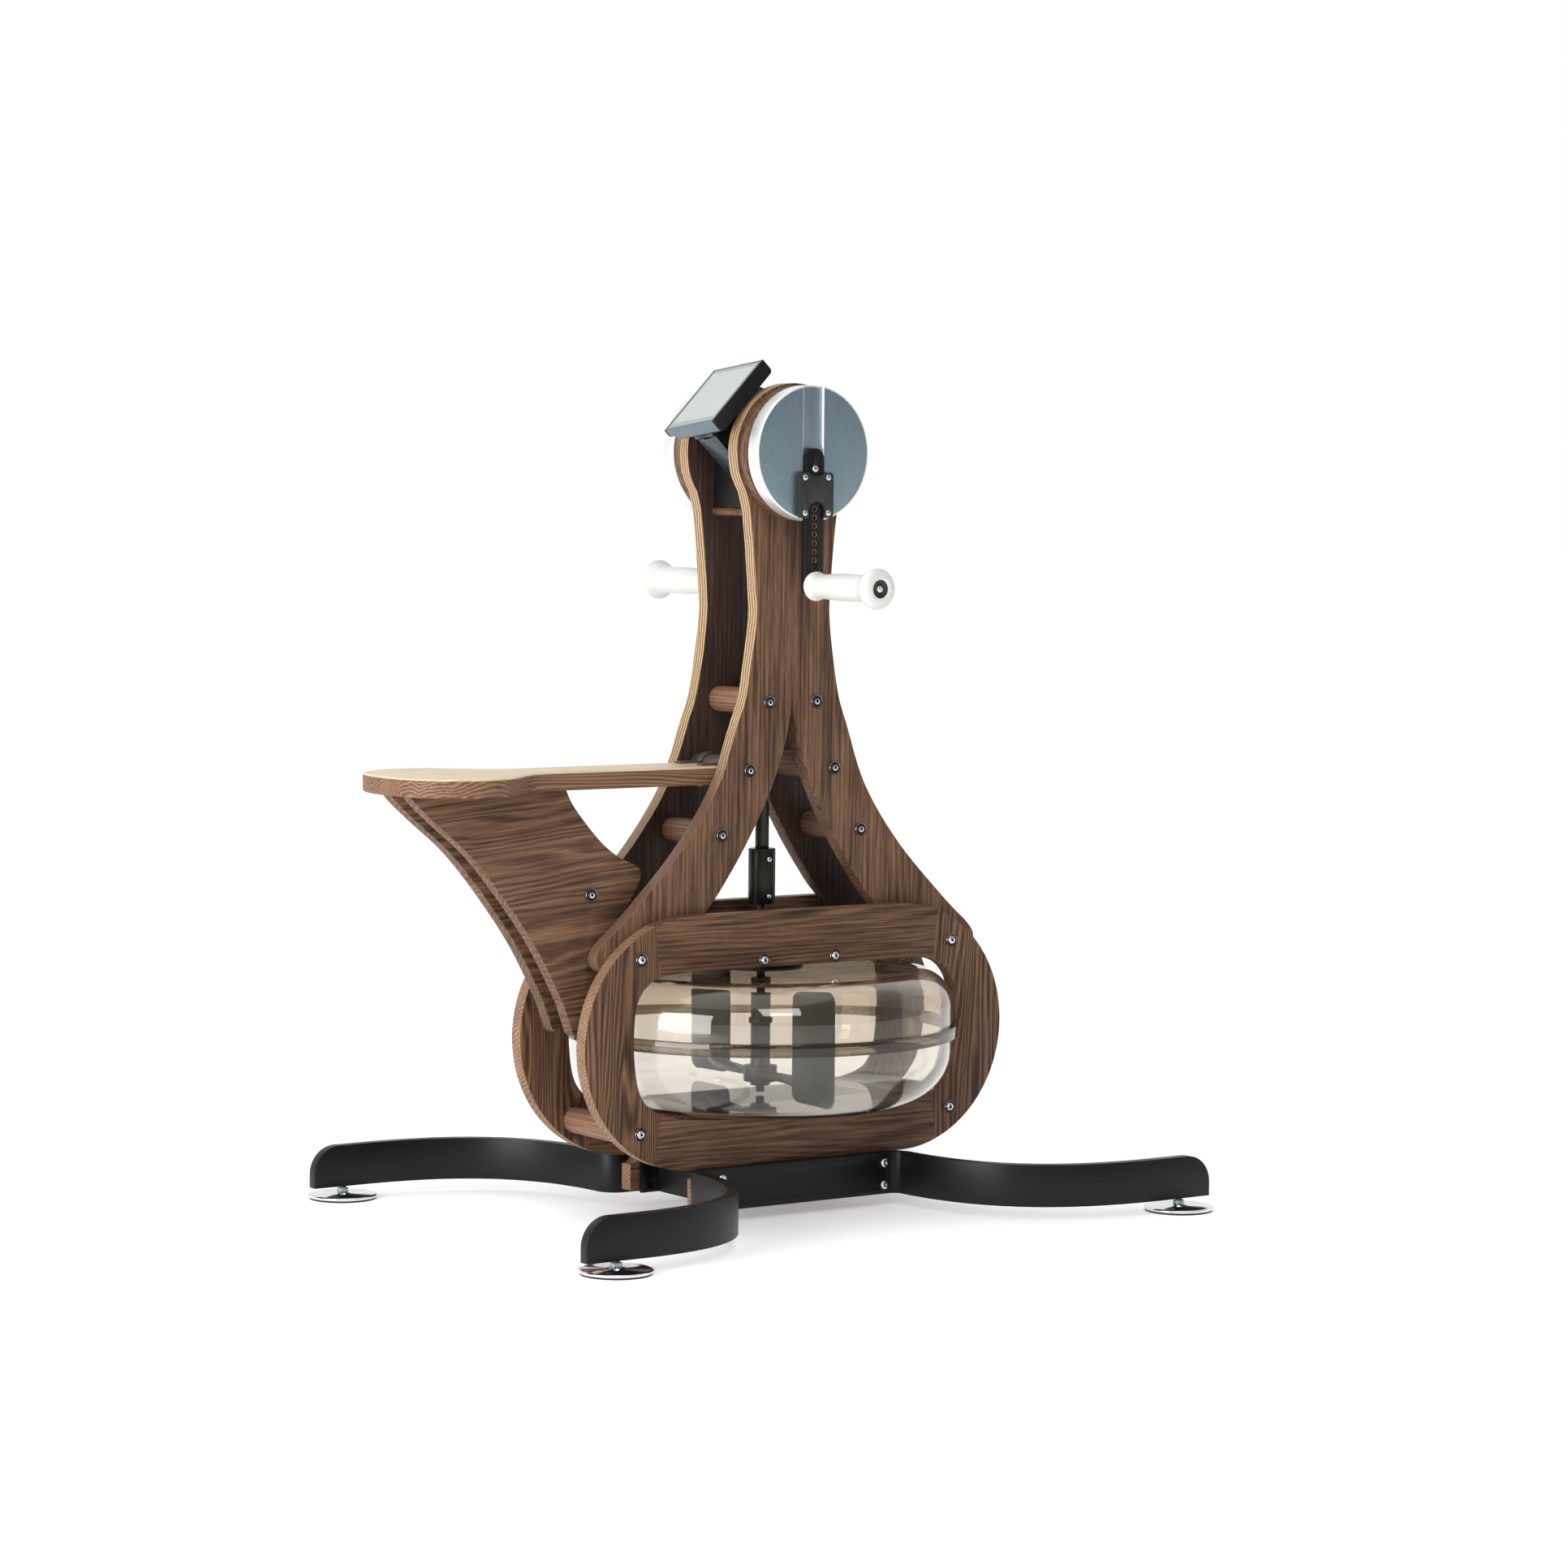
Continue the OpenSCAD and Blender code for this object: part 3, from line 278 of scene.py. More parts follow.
def plain(name, colour, second, grain_mm, roughness, spread=0.08, metallic=0.0, stretch=(1, 1, 1),
          depth_mm=0.02, **shader):
    finish, tree, surface = new_finish(name, Metallic=metallic, **shader)
    place = add(tree, "TexCoord").outputs["Object"]
    drawn = add(tree, "Mapping", {"vector_type": "TEXTURE", "Scale": stretch}, {"Vector": place})
    grain = add(tree, "TexNoise", {"Scale": per_m(grain_mm), "Detail": 3.0, "Roughness": 0.6},
                {"Vector": drawn.outputs["Vector"]})
    level = add(tree, "MapRange", {"From Min": 0.3, "From Max": 0.7}, {"Value": grain.outputs["Fac"]})
    tree.links.new(ramp(tree, level.outputs["Result"], [(0.0, colour), (1.0, second)]),
                   surface.inputs["Base Color"])
    rough = add(tree, "MapRange", {"To Min": roughness - spread / 2, "To Max": roughness + spread / 2},
                {"Value": level.outputs["Result"]})
    tree.links.new(rough.outputs["Result"], surface.inputs["Roughness"])
    bump(tree, surface, grain.outputs["Fac"], depth_mm, 0.4)
    return finish


powder_black = plain("black_powder_coated_steel", "#060606", "#0B0B0B", 1.2, 0.4, depth_mm=0.03,
                     Specular_IOR_Level=0.28)
chrome = plain("polished_chromed_steel", "#D9DADC", "#E6E7E9", 4.0, 0.09, 0.04, 1.0)
bright_rim = plain("satin_aluminium_rim", "#DDE0E2", "#EDEEF0", 1.0, 0.5, 0.08, 0.85, (30, 1, 30), 0.005)
disc_face = plain("satin_aluminium_face", "#869AA4", "#93A6AF", 0.9, 0.4, 0.08, 1.0, (1, 1, 14))
brushed = plain("brushed_aluminium", "#6D7880", "#87929A", 0.5, 0.42, 0.1, 1.0, (1, 60, 1))
strap_steel = plain("brushed_dark_steel", "#4A5157", "#666E74", 0.6, 0.4, 0.1, 1.0, (1, 40, 1))
gunmetal = plain("dark_oxidised_steel", "#24251D", "#2E2F26", 2.0, 0.34, 0.1, 0.75)
clamp_metal = plain("bead_blasted_grey_aluminium", "#343733", "#3D403B", 0.7, 0.4, 0.1, 0.6)
nickel = plain("nickel_plated_steel", "#8C8C8E", "#9A9A9C", 3.0, 0.14, 0.05, 1.0)
case_black = plain("satin_black_cast_metal", "#090A08", "#10110E", 1.6, 0.5, depth_mm=0.05,
                   Specular_IOR_Level=0.25)
sleeve_grey = plain("satin_bronze_sleeve", "#57504A", "#645C55", 1.5, 0.42, 0.08, 0.5)
anodised = plain("black_anodised_aluminium", "#0F0F10", "#191A1B", 0.8, 0.33, 0.08, 0.4, (1, 1, 12))
brass = plain("turned_brass", "#7D5F35", "#9C7C4B", 0.8, 0.26, 0.08, 1.0)
grip_white = plain("moulded_white_polypropylene", "#D2D1CE", "#D8D7D4", 6.0, 0.42, 0.06, depth_mm=0.03,
                   Subsurface_Weight=0.08, Subsurface_Radius=(0.01, 0.009, 0.008), Subsurface_Scale=0.5)
moulding_black = plain("moulded_black_abs", "#131312", "#1C1B19", 1.4, 0.42, depth_mm=0.06)
cheek_black = plain("black_stained_veneer", "#0B0908", "#171412", 0.9, 0.55, 0.14, 0.0, (14, 1, 14), 0.12,
                    Specular_IOR_Level=0.25)
paddle_grey = plain("moulded_grey_nylon", "#20211B", "#2A2B24", 2.5, 0.4, depth_mm=0.05)
rubber = plain("moulded_black_rubber", "#17171A", "#202022", 1.8, 0.7, depth_mm=0.1)
zinc = plain("zinc_plated_steel", "#8FA0A4", "#B9C3C4", 1.5, 0.28, 0.1, 1.0)
lcd = plain("grey_lcd_panel", "#ACB1AF", "#B2B7B5", 30.0, 0.3, depth_mm=0.001, Specular_IOR_Level=0.3)
lcd_band = plain("grey_lcd_margin", "#8F9796", "#979E9D", 30.0, 0.3, depth_mm=0.001, Specular_IOR_Level=0.3)
print("metal and moulding finishes:", len(bpy.data.materials))

# %% Smoked and clear tank mouldings


def clear_moulding(name, tint, second):
    # blow-moulded copolyester: clear, glossy, with a faint swirl from the mould in its tint
    finish, tree, surface = new_finish(name, IOR=1.5, Transmission_Weight=1.0, Roughness=0.02)
    place = add(tree, "TexCoord").outputs["Object"]
    swirl = add(tree, "TexNoise", {"Scale": per_m(120), "Detail": 1.0}, {"Vector": place})
    tinted = ramp(tree, swirl.outputs["Fac"], [(0.3, tint), (0.7, second)])
    tree.links.new(tinted, surface.inputs["Base Color"])
    bump(tree, surface, swirl.outputs["Fac"], 0.3, 0.25)
    return finish


smoked = clear_moulding("smoked_copolyester", "#D9CDBD", "#DDD2C4")
clearer = clear_moulding("pale_copolyester", "#EDE9E2", "#F1EEE8")
band_smoke = clear_moulding("smoked_band", "#8E8272", "#9A8E7E")
print("tank finishes ready")

# %% [markdown]
# ## Helpers for pieces
# A CAD node arrives as loose triangles. A copy of it is merged, its flat faces are joined, and its
# sharp edges are broken with a small bevel, as a maker breaks them with a router or sandpaper. The
# copy then stands for the node, rides on the same body and takes its finishes face by face.
# %% Piece helpers


def put(name, mesh, finishes, body, slot, *nodes):
    data = bpy.data.meshes.new(name)
    mesh.to_mesh(data)
    mesh.free()
    piece = bpy.data.objects.new(name, data)
    bpy.context.scene.collection.objects.link(piece)
    for finish in finishes:
        data.materials.append(finish)
    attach(piece, body)
    if nodes:
        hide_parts(*nodes)
    print(name, len(data.polygons), "faces")


def soften(mesh, angle=32):
    for face in mesh.faces:
        face.smooth = True
    for edge in mesh.edges:
        edge.smooth = len(edge.link_faces) == 2 and edge.calc_face_angle(0) < math.radians(angle)


def merged_copy(node):
    mesh = bmesh.new()
    mesh.from_mesh(frame["nodes"][node].data)
    bmesh.ops.remove_doubles(mesh, verts=mesh.verts, dist=0.00002)
    bmesh.ops.dissolve_limit(mesh, angle_limit=math.radians(0.4), verts=mesh.verts, edges=mesh.edges)
    return mesh


def break_edges(mesh, width_mm, segments=3, angle=38, keep=None):
    sharp = [
        edge
        for edge in mesh.edges
        if len(edge.link_faces) == 2
        and edge.calc_face_angle(0) > math.radians(angle)
        and not (keep and any(keep(face) for face in edge.link_faces))
    ]
    bmesh.ops.bevel(mesh, geom=sharp, offset=width_mm * MM, segments=segments, profile=0.5, affect="EDGES",
                    material=-1, clamp_overlap=True)


def eased(node, finishes, width_mm, segments=2, pick=None, keep=None):
    mesh = merged_copy(node)
    if width_mm:
        break_edges(mesh, width_mm, segments, keep=keep)
    mesh.normal_update()
    if pick:
        for face in mesh.faces:
            face.material_index = pick(face)
    soften(mesh)
    body = frame["nodes"][node]["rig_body"]
    put(node + "_made", mesh, finishes, body, slot_of[node], node)


EDGE_NORMAL = 0.6  # a face whose normal has less Y than this belongs to an edge
GAP_TOP_Z = 0.86


def edge_or_face(face):
    return 1 if abs(face.normal.y) < EDGE_NORMAL else 0


def column_finish(face):
    """0 for the outer face and the edges of the gap, 1 for the other edges, 2 for the inner face, which gets
    painted shade.
    """
    if abs(face.normal.y) < EDGE_NORMAL:
        inward = face.normal.x * (face.calc_center_median().x - AXIS_X) < 0
        return 0 if inward and face.calc_center_median().z < GAP_TOP_Z else 1
    return 0 if face.normal.y * face.calc_center_median().y > 0 else 2


print("piece helpers ready")

# %% [markdown]
# ## Panels and columns
# Each tank panel is two upright end blocks and two level rails, glued flush, so the glue line is
# left sharp and every other edge is rounded over. The columns are pressed and then routed, with
# blond layers on the edge between two stained faces, and the faces that look inward carry painted
# shade: a darker copy of the stain stands for the shadow between the columns.
# %% Boards


def glue_line(face):
    return abs(face.normal.x) > 0.9 and abs(face.normal.y) < 0.1 and face.calc_area() > 900 * MM * MM


for side in ("right", "left"):
    eased(side + "_panel_ends", [panel_end_face, rim_face], 3.0, 4, edge_or_face, glue_line)
    eased(side + "_panel_rails", [panel_rail_face, board_face], 3.0, 4, edge_or_face, glue_line)
    column_edge = right_column_edge if side == "right" else left_column_edge
    eased(side + "_column", [column_face, column_edge, painted_shade_inner_face], 1.6, 3, column_finish)
for node in ("column_rods", "panel_rods"):
    eased(node, [rod_face], 0.5, 2)
eased("hook_rod", [sleeve_grey], 0.5, 2)
for node in ("shaft_bridge", "tank_shelf", "gear_shelf"):
    eased(node, [board_face], 1.5, 3)
eased("runners", [board_face, rim_face], 1.5, 3, edge_or_face)
eased("axle_bosses", [column_face], 0.6, 2)

# %% [markdown]
# ## Base
# The leg bars are one flat bar each, bent twice at every end and powder coated. Their edges
# are ground round with one small bevel all over.
# %% Base pieces
for side in ("right", "left"):
    eased(side + "_leg_bar", [powder_black], 1.6, 3)
eased("cross_members", [powder_black], 0.8, 2)

# %% [markdown]
# ## Crank discs
# Each disc is turned from aluminium: the face is blue-grey satin and the rim is bright, with a wide
# round between them. The groove that holds the arm is milled right across.
# %% Discs
FACE_R, RIM_R, RIM_ROUND_MM = 0.0905, 0.0935, 5.0


def disc_finish(face):
    middle = face.calc_center_median()
    reach = math.hypot(middle.x - AXIS_X, middle.z - CRANK_Z)
    return 0 if abs(face.normal.y) > 0.93 and reach < FACE_R else 1


def turned_disc(side):
    mesh = merged_copy(side + "_disc")
    rim = [
        edge
        for edge in mesh.edges
        if len(edge.link_faces) == 2
        and edge.calc_face_angle(0) > math.radians(50)
        and all(math.hypot(v.co.x - AXIS_X, v.co.z - CRANK_Z) > RIM_R for v in edge.verts)
        and abs(edge.verts[0].co.y - edge.verts[1].co.y) < 0.0001
    ]
    bmesh.ops.bevel(mesh, geom=rim, offset=RIM_ROUND_MM * MM, segments=6, profile=0.5, affect="EDGES",
                    material=-1, clamp_overlap=True)
    mesh.normal_update()
    for face in mesh.faces:
        face.material_index = disc_finish(face)
    soften(mesh)
    put(side + "_disc_turned", mesh, [disc_face, bright_rim], "crank", "disc_metal", side + "_disc")


for side in ("right", "left"):
    turned_disc(side)
eased("crank_axle", [chrome], 1.0, 2)
eased("clamp_plates", [clamp_metal], 0.8, 3)
for side in ("right", "left"):
    eased(side + "_arm", [anodised], 0.8, 3)
    eased(side + "_spindle", [chrome], 0.4, 2)

# %% [markdown]
# ## Bolts and screws
# A cup bolt sits in a turned washer: a rounded lip, a step and a button head with a hex
# socket. It is one short profile spun round, and the socket is a six-sided loop bridged to the
# head's rim and pushed in. bright_r is how far out in millimetres the button's chrome shows. The
# faces from there out to the lip, and the socket, carry painted shade in near black.
# %% Bolt makers


def spin_profile(mesh, points, steps=32):
    """points are (radius, height) in millimetres, spun about Z."""
    verts = [mesh.verts.new((r * MM, 0, h * MM)) for r, h in points]
    edges = [mesh.edges.new(pair) for pair in zip(verts, verts[1:])]
    bmesh.ops.spin(mesh, geom=verts + edges, cent=(0, 0, 0), axis=(0, 0, 1), dvec=(0, 0, 0),
                   angle=2 * math.pi, steps=steps, use_merge=True, use_duplicate=False)
    bmesh.ops.remove_doubles(mesh, verts=mesh.verts, dist=0.000004)


def socket_cap(mesh, rim_r, rim_h, socket_r, depth, sides=6, steps=32):
    """Closes a round rim with a flat that has a socket of so many sides pushed into it."""
    outer = bmesh.ops.create_circle(mesh, segments=steps, radius=rim_r * MM,
                                    matrix=Matrix.Translation((0, 0, rim_h * MM)))["verts"]
    inner = bmesh.ops.create_circle(mesh, segments=sides, radius=socket_r * MM,
                                    matrix=Matrix.Translation((0, 0, rim_h * MM)))["verts"]

    def loop(verts):
        return [e for e in {e for v in verts for e in v.link_edges} if all(v in verts for v in e.verts)]

    hex_edges = loop(inner)
    bmesh.ops.bridge_loops(mesh, edges=loop(outer) + hex_edges)
    walls = bmesh.ops.extrude_edge_only(mesh, edges=hex_edges)["geom"]
    floor = [v for v in walls if isinstance(v, bmesh.types.BMVert)]
    bmesh.ops.translate(mesh, verts=floor, vec=(0, 0, -depth * MM))
    bmesh.ops.contextual_create(mesh, geom=floor)
    bmesh.ops.remove_doubles(mesh, verts=mesh.verts, dist=0.000004)


def outward(mesh):
    bmesh.ops.recalc_face_normals(mesh, faces=mesh.faces)


def stamp(target, source, matrices):
    data = bpy.data.meshes.new("stamp")
    source.to_mesh(data)
    source.free()
    for matrix in matrices:
        start = len(target.verts)
        target.from_mesh(data)
        target.verts.ensure_lookup_table()
        bmesh.ops.transform(target, matrix=matrix, verts=target.verts[start:])
    bpy.data.meshes.remove(data)


def facing(x_mm, z_mm, y_mm, side):
    """A place on a face that looks to the right (-1) or the left (1); x_mm is from the crank axis."""
    turn = Matrix.Rotation(math.radians(-90 * side), 4, "X")
    return Matrix.Translation((AXIS_X + x_mm * MM, side * y_mm * MM, z_mm * MM)) @ turn


def cup_bolt(bright_r):
    mesh = bmesh.new()
    spin_profile(mesh, [(4, -20), (9.2, -0.2), (9.4, 0.6), (9.3, 2.0), (8.9, 2.6), (8.4, 2.5), (7.6, 1.9),
                        (6.9, 0.9), (6.2, 0.8), (6.1, 1.6), (5.8, 2.7), (5.0, 3.5), (4.0, 3.9)])
    socket_cap(mesh, 4.0, 3.9, 2.7, 2.0)
    outward(mesh)
    for face in mesh.faces:
        middle = face.calc_center_median()
        reach = math.hypot(middle.x, middle.y) / MM
        # painted shade: the hex socket and the ring from bright_r out to the washer lip are painted near
        # black
        painted_shade_in_recess = (reach < 2.6 and middle.z < 3.6 * MM) or bright_r < reach < 8.3
        face.material_index = 1 if painted_shade_in_recess else 0 if reach < bright_r else 2
    soften(mesh, 40)
    return mesh


def screw(head_r, height, socket_r, deep=1.2):
    mesh = bmesh.new()
    spin_profile(mesh, [(head_r * 0.55, -8), (head_r * 0.6, -0.1), (head_r, 0), (head_r, height * 0.45),
                        (head_r * 0.86, height * 0.86), (head_r * 0.66, height)])
    socket_cap(mesh, head_r * 0.66, height, socket_r, deep)
    outward(mesh)
    soften(mesh, 40)
    return mesh


# a near-black finish painted into sockets and recesses as shade
painted_shade_socket = plain("painted_shade_recess", "#141414", "#1E1E1E", 2.0, 0.5)
print("bolt makers ready")

# %% [markdown]
# The places come from the CAD nodes: each bolt is its own loose solid, so the middle of every
# connected lump of the node's mesh is a bolt. The lump's outer end gives the face it sits on.
# %% Place the bolts


def lumps(node):
    mesh = merged_copy(node)
    left, found = set(mesh.verts), []
    while left:
        group, queue = set(), [left.pop()]
        while queue:
            vert = queue.pop()
            group.add(vert)
            for edge in vert.link_edges:
                other = edge.other_vert(vert)
                if other in left:
                    left.discard(other)
                    queue.append(other)
        low = Vector([min(v.co[i] for v in group) for i in range(3)])
        high = Vector([max(v.co[i] for v in group) for i in range(3)])
        found.append((low, high))
    mesh.free()
    return found


def bolts(node, source, proud_mm):
    places = []
    for low, high in lumps(node):
        side = -1 if (low.y + high.y) < 0 else 1
        tip = max(abs(low.y), abs(high.y)) / MM - proud_mm
        places.append(facing(((low.x + high.x) / 2 - AXIS_X) / MM, (low.z + high.z) / 2 / MM, tip, side))
    mesh = bmesh.new()
    stamp(mesh, source, places)
    body = frame["nodes"][node]["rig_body"]
    put(node + "_made", mesh, [chrome, painted_shade_socket, nickel], body, slot_of[node], node)


bolts("panel_bolts", cup_bolt(5.8), 4.0)
bolts("column_bolts", cup_bolt(4.1), 4.0)
bolts("leg_bolts", screw(6.5, 3.0, 2.6), 3.0)
bolts("clamp_screws", screw(4.0, 1.6, 1.9, 1.0), 1.6)

# %% [markdown]
# ## Arm bushes
# The holes that set the crank length are lined with brass. A bush is a ring with a rounded mouth,
# and the stop screw above them is a plain button head.
# %% Bushes


def bush():
    mesh = bmesh.new()
    spin_profile(mesh, [(2.5, -9), (2.5, -0.6), (2.9, -0.1), (3.3, 0.05), (3.6, -0.1), (3.6, -9)], 28)
    outward(mesh)
    soften(mesh, 40)
    return mesh


for side, sign in (("right", -1), ("left", 1)):
    rings, stops = [], []
    for low, high in lumps(side + "_bushes"):
        middle_x, middle_z = ((low.x + high.x) / 2 - AXIS_X) / MM, (low.z + high.z) / 2 / MM
        reach = max(abs(low.y), abs(high.y)) / MM
        if high.x - low.x < 8 * MM:
            rings.append(facing(middle_x, middle_z, reach, sign))
        else:
            stops.append(facing(middle_x, middle_z, reach - 2, sign))
    mesh = bmesh.new()
    stamp(mesh, bush(), rings)
    for face in mesh.faces:
        face.material_index = 1
    stamp(mesh, screw(4.8, 2.0, 2.2), stops)
    put(side + "_bushes_made", mesh, [chrome, brass], side + "_crank_arm", "gear_brass", side + "_bushes")

# %% [markdown]
# ## Grips
# A grip is a moulded sleeve that turns on its spindle: a flange at the arm, a slim waist, a swell
# for the palm and a mushroom end. Its outline is one curve through a few radii, spun about the
# spindle, and the end is closed by a black cap with a bolt in it.
# %% Grip


def smooth_line(points, steps=6):
    """A Catmull-Rom curve through (radius, height) points."""
    line = []
    for i in range(len(points) - 1):
        a, b, c, d = (Vector(points[min(max(i + k, 0), len(points) - 1)]) for k in (-1, 0, 1, 2))
        for n in range(steps):
            t = n / steps
            line.append(0.5 * (2 * b + (c - a) * t + (2 * a - 5 * b + 4 * c - d) * t * t
                               + (3 * b - a - 3 * c + d) * t**3))
    return [tuple(p) for p in line] + [points[-1]]


def grip(side, sign):
    low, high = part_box(side + "_grip")
    length = (high.y - low.y) / MM
    handle_z = (low.z + high.z) / 2 / MM
    inner = min(abs(low.y), abs(high.y)) / MM
    outline = [(6.3, 0.3), (16.5, 0.2), (19.6, 1.5), (20.6, 5), (19.6, 9), (17.5, 14), (17.4, 30), (18.4, 50),
               (19.4, length * 0.46), (19.1, length * 0.68), (20.2, length * 0.8), (24.5, length * 0.87),
               (28.2, length * 0.925), (28.0, length * 0.955), (24.5, length * 0.985), (17.5, length - 0.1),
               (13.6, length - 0.5), (12.7, length - 1.5), (12.6, length - 5)]
    mesh = bmesh.new()
    spin_profile(mesh, smooth_line(outline), 72)
    outward(mesh)
    soften(mesh, 60)
    place = facing(0, handle_z, inner, sign)
    bmesh.ops.transform(mesh, matrix=place, verts=mesh.verts)
    put(side + "_grip_sleeve", mesh, [grip_white], side + "_handle", "white_grip", side + "_grip")
    cap = bmesh.new()
    spin_profile(cap, [(0, length - 6), (12.4, length - 5.5), (12.4, length - 2), (11.6, length - 1.2),
                       (9.5, length - 1.4), (7.2, length - 2.6), (6.4, length - 4.4), (0, length - 4.4)], 40)
    outward(cap)
    soften(cap, 40)
    bmesh.ops.transform(cap, matrix=place, verts=cap.verts)
    put(side + "_grip_cap", cap, [moulding_black], side + "_handle", "white_grip")
    mesh = bmesh.new()
    stamp(mesh, screw(5.2, 3.0, 2.6), [facing(0, handle_z, inner + length - 4.4, sign)])
    put(side + "_grip_bolt", mesh, [chrome], side + "_handle", "white_grip")


for side, sign in (("right", -1), ("left", 1)):
    grip(side, sign)

# %% [markdown]
# ## Drive
# A dark tube runs down from the gear housing. A coupling sleeve with two grub screws joins it to
# the thin shaft of the paddle. The gears are hidden in the housing and keep their CAD shape.
# %% Shaft, sleeve and gears
eased("gear_housing", [case_black], 1.2, 2)
eased("drive_shaft", [gunmetal], 0.4, 2)
eased("shaft_sleeve", [gunmetal], 1.4, 3)
for node, finish in (("crown_gear", brass), ("pinion", brass), ("bearings", chrome)):
    frame["nodes"][node].data.materials.clear()
    frame["nodes"][node].data.materials.append(finish)
sleeve_low, sleeve_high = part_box("shaft_sleeve")
mesh = bmesh.new()
sleeve_r = (sleeve_high.x - sleeve_low.x) / 2 / MM
stamp(mesh, screw(3.6, 1.2, 1.7), [facing(0, z / MM, sleeve_r - 0.6, -1)
                                   for z in (sleeve_low.z + 11 * MM, sleeve_high.z - 15 * MM)])
put("sleeve_screws", mesh, [chrome, painted_shade_socket], "impeller", "bright_steel")
eased("paddle", [paddle_grey], 0.8, 2)

# %% [markdown]
# ## Tank
# The tank is two clear mouldings that meet at a ring. They are true shells with a wall, because a
# clear solid would bend light like a lens. The shells are left unbroken, so the shoulders stay
# clean. The ring and the flange are broken.
# %% Tank pieces
eased("tank_upper_shell", [smoked], 0)
eased("tank_lower_shell", [clearer], 0)
eased("tank_ring", [band_smoke], 1.2, 3)
eased("tank_flange", [moulding_black], 0.8, 2)
FLANGE_SCREW_MM = 3.5
mesh = bmesh.new()
places = [Matrix.Translation(((low.x + high.x) / 2, (low.y + high.y) / 2, high.z - FLANGE_SCREW_MM * MM))
          for low, high in lumps("flange_screws")]
stamp(mesh, screw(5.0, FLANGE_SCREW_MM, 2.4), places)
put("flange_screws_made", mesh, [chrome, painted_shade_socket], "base", "bright_steel", "flange_screws")

# %% [markdown]
# ## Display
# The display is a slim case: brushed aluminium wraps round the front and the two ends, black cheeks
# close the sides, and a grey panel with a darker margin lies in the front. The left part is
# shallower, because it passes over a column's head. The case is built flat, with X into it and Z up
# its face, and then turned into place as one.
# %% Display
CASE_W, CASE_H, CASE_D = 123.0, 126.0, 22.5
LEFT_STEP, SHALLOW_D = 47.0, 15.5
TIP_DEG, LEAN_DEG = -6.2, 46
face_middle = Vector((AXIS_X - 0.089, 0, CRANK_Z + 0.0803))
case_place = (Matrix.Translation(face_middle) @ Matrix.Rotation(math.radians(TIP_DEG), 4, "X")
              @ Matrix.Rotation(math.radians(LEAN_DEG), 4, "Y"))


def block(mesh, low, high, index=0, round_mm=0.0, segments=3, rear_mm=0.0):
    """A box between two corners in millimetres, edges broken; rear_mm rounds its back corners first."""
    size = [(b - a) * MM for a, b in zip(low, high)]
    middle = [(a + b) / 2 * MM for a, b in zip(low, high)]
    space = Matrix.Translation(middle) @ Matrix.Diagonal((*size, 1))
    made = bmesh.ops.create_cube(mesh, size=1.0, matrix=space)
    if rear_mm:
        rear = [e for e in {e for v in made["verts"] for e in v.link_edges}
                if all(v.co.x > middle[0] for v in e.verts)
                and abs(e.verts[0].co.y - e.verts[1].co.y) > 0.0005]
        cut = bmesh.ops.bevel(mesh, geom=rear, offset=rear_mm * MM, segments=5, profile=0.5, affect="EDGES",
                              material=-1)
        made = {"verts": [v for v in made["verts"] if v.is_valid] + cut["verts"]}
    if round_mm:
        edges = [e for e in {e for v in made["verts"] for e in v.link_edges} if e.calc_face_angle(0) > 0.6]
        made = bmesh.ops.bevel(mesh, geom=edges, offset=round_mm * MM, segments=segments, profile=0.5,
                               affect="EDGES", material=-1, clamp_overlap=True)
    for face in {f for v in made["verts"] for f in v.link_faces}:
        face.material_index = index


def case_piece(name, mesh, finishes, slot, *nodes):
    outward(mesh)
    soften(mesh)
    bmesh.ops.transform(mesh, matrix=case_place, verts=mesh.verts)
    put(name, mesh, finishes, "display", slot, *nodes)


half_w, half_h = CASE_W / 2, CASE_H / 2
wrap = bmesh.new()
block(wrap, (0.3, 3.2 - half_w, -half_h), (CASE_D, LEFT_STEP, half_h), 0, 0.8, 2, 6.0)
block(wrap, (0.3, LEFT_STEP - 1, -half_h), (SHALLOW_D, half_w - 3.2, half_h), 0, 0.8, 2, 6.0)
for low, high in (((-0.05, 3 - half_w, -half_h + 0.4), (1.2, half_w - 3, 4.2 - half_h)),
                  ((-0.05, 3 - half_w, half_h - 4.2), (1.2, half_w - 3, half_h - 0.4)),
                  ((-0.05, 3 - half_w, 4.2 - half_h), (1.2, 6.2 - half_w, half_h - 4.2)),
                  ((-0.05, half_w - 6.2, 4.2 - half_h), (1.2, half_w - 3, half_h - 4.2))):
    block(wrap, low, high, 0, 0.4)
case_piece("display_wrap", wrap, [brushed], "black_moulding", "display_case")
cheeks = bmesh.new()
for low_y, high_y, deep in ((-half_w, 3.0 - half_w, CASE_D), (half_w - 3.0, half_w, SHALLOW_D)):
    block(cheeks, (0, low_y, -half_h), (deep, high_y, half_h), 0, 0.7, 2, 6.0)
block(cheeks, (CASE_D - 0.5, 8 - half_w, 8 - half_h), (CASE_D + 0.6, LEFT_STEP - 4, half_h - 8), 0, 0.5, 2)
block(cheeks, (CASE_D - 1, -30, half_h - 27), (CASE_D + 12, 30, half_h - 5), 0, 1.2, 3)
case_piece("display_cheeks", cheeks, [cheek_black], "black_moulding")
panel = bmesh.new()
block(panel, (0.1, 6.0 - half_w, 4.0 - half_h), (0.25, half_w - 6.0, half_h - 4.0), 1)
block(panel, (0.02, 9.0 - half_w, 13.0 - half_h), (0.2, half_w - 9.0, half_h - 11.0), 0)
case_piece("display_panel", panel, [lcd, lcd_band], "display_glass", "display_screen")
hinge = bmesh.new()
pin_x, pin_z = CASE_D + 6, 12 - half_h
block(hinge, (CASE_D - 1, -10, pin_z - 3), (pin_x, 10, pin_z + 5), 0, 1.0)
barrel = bmesh.new()
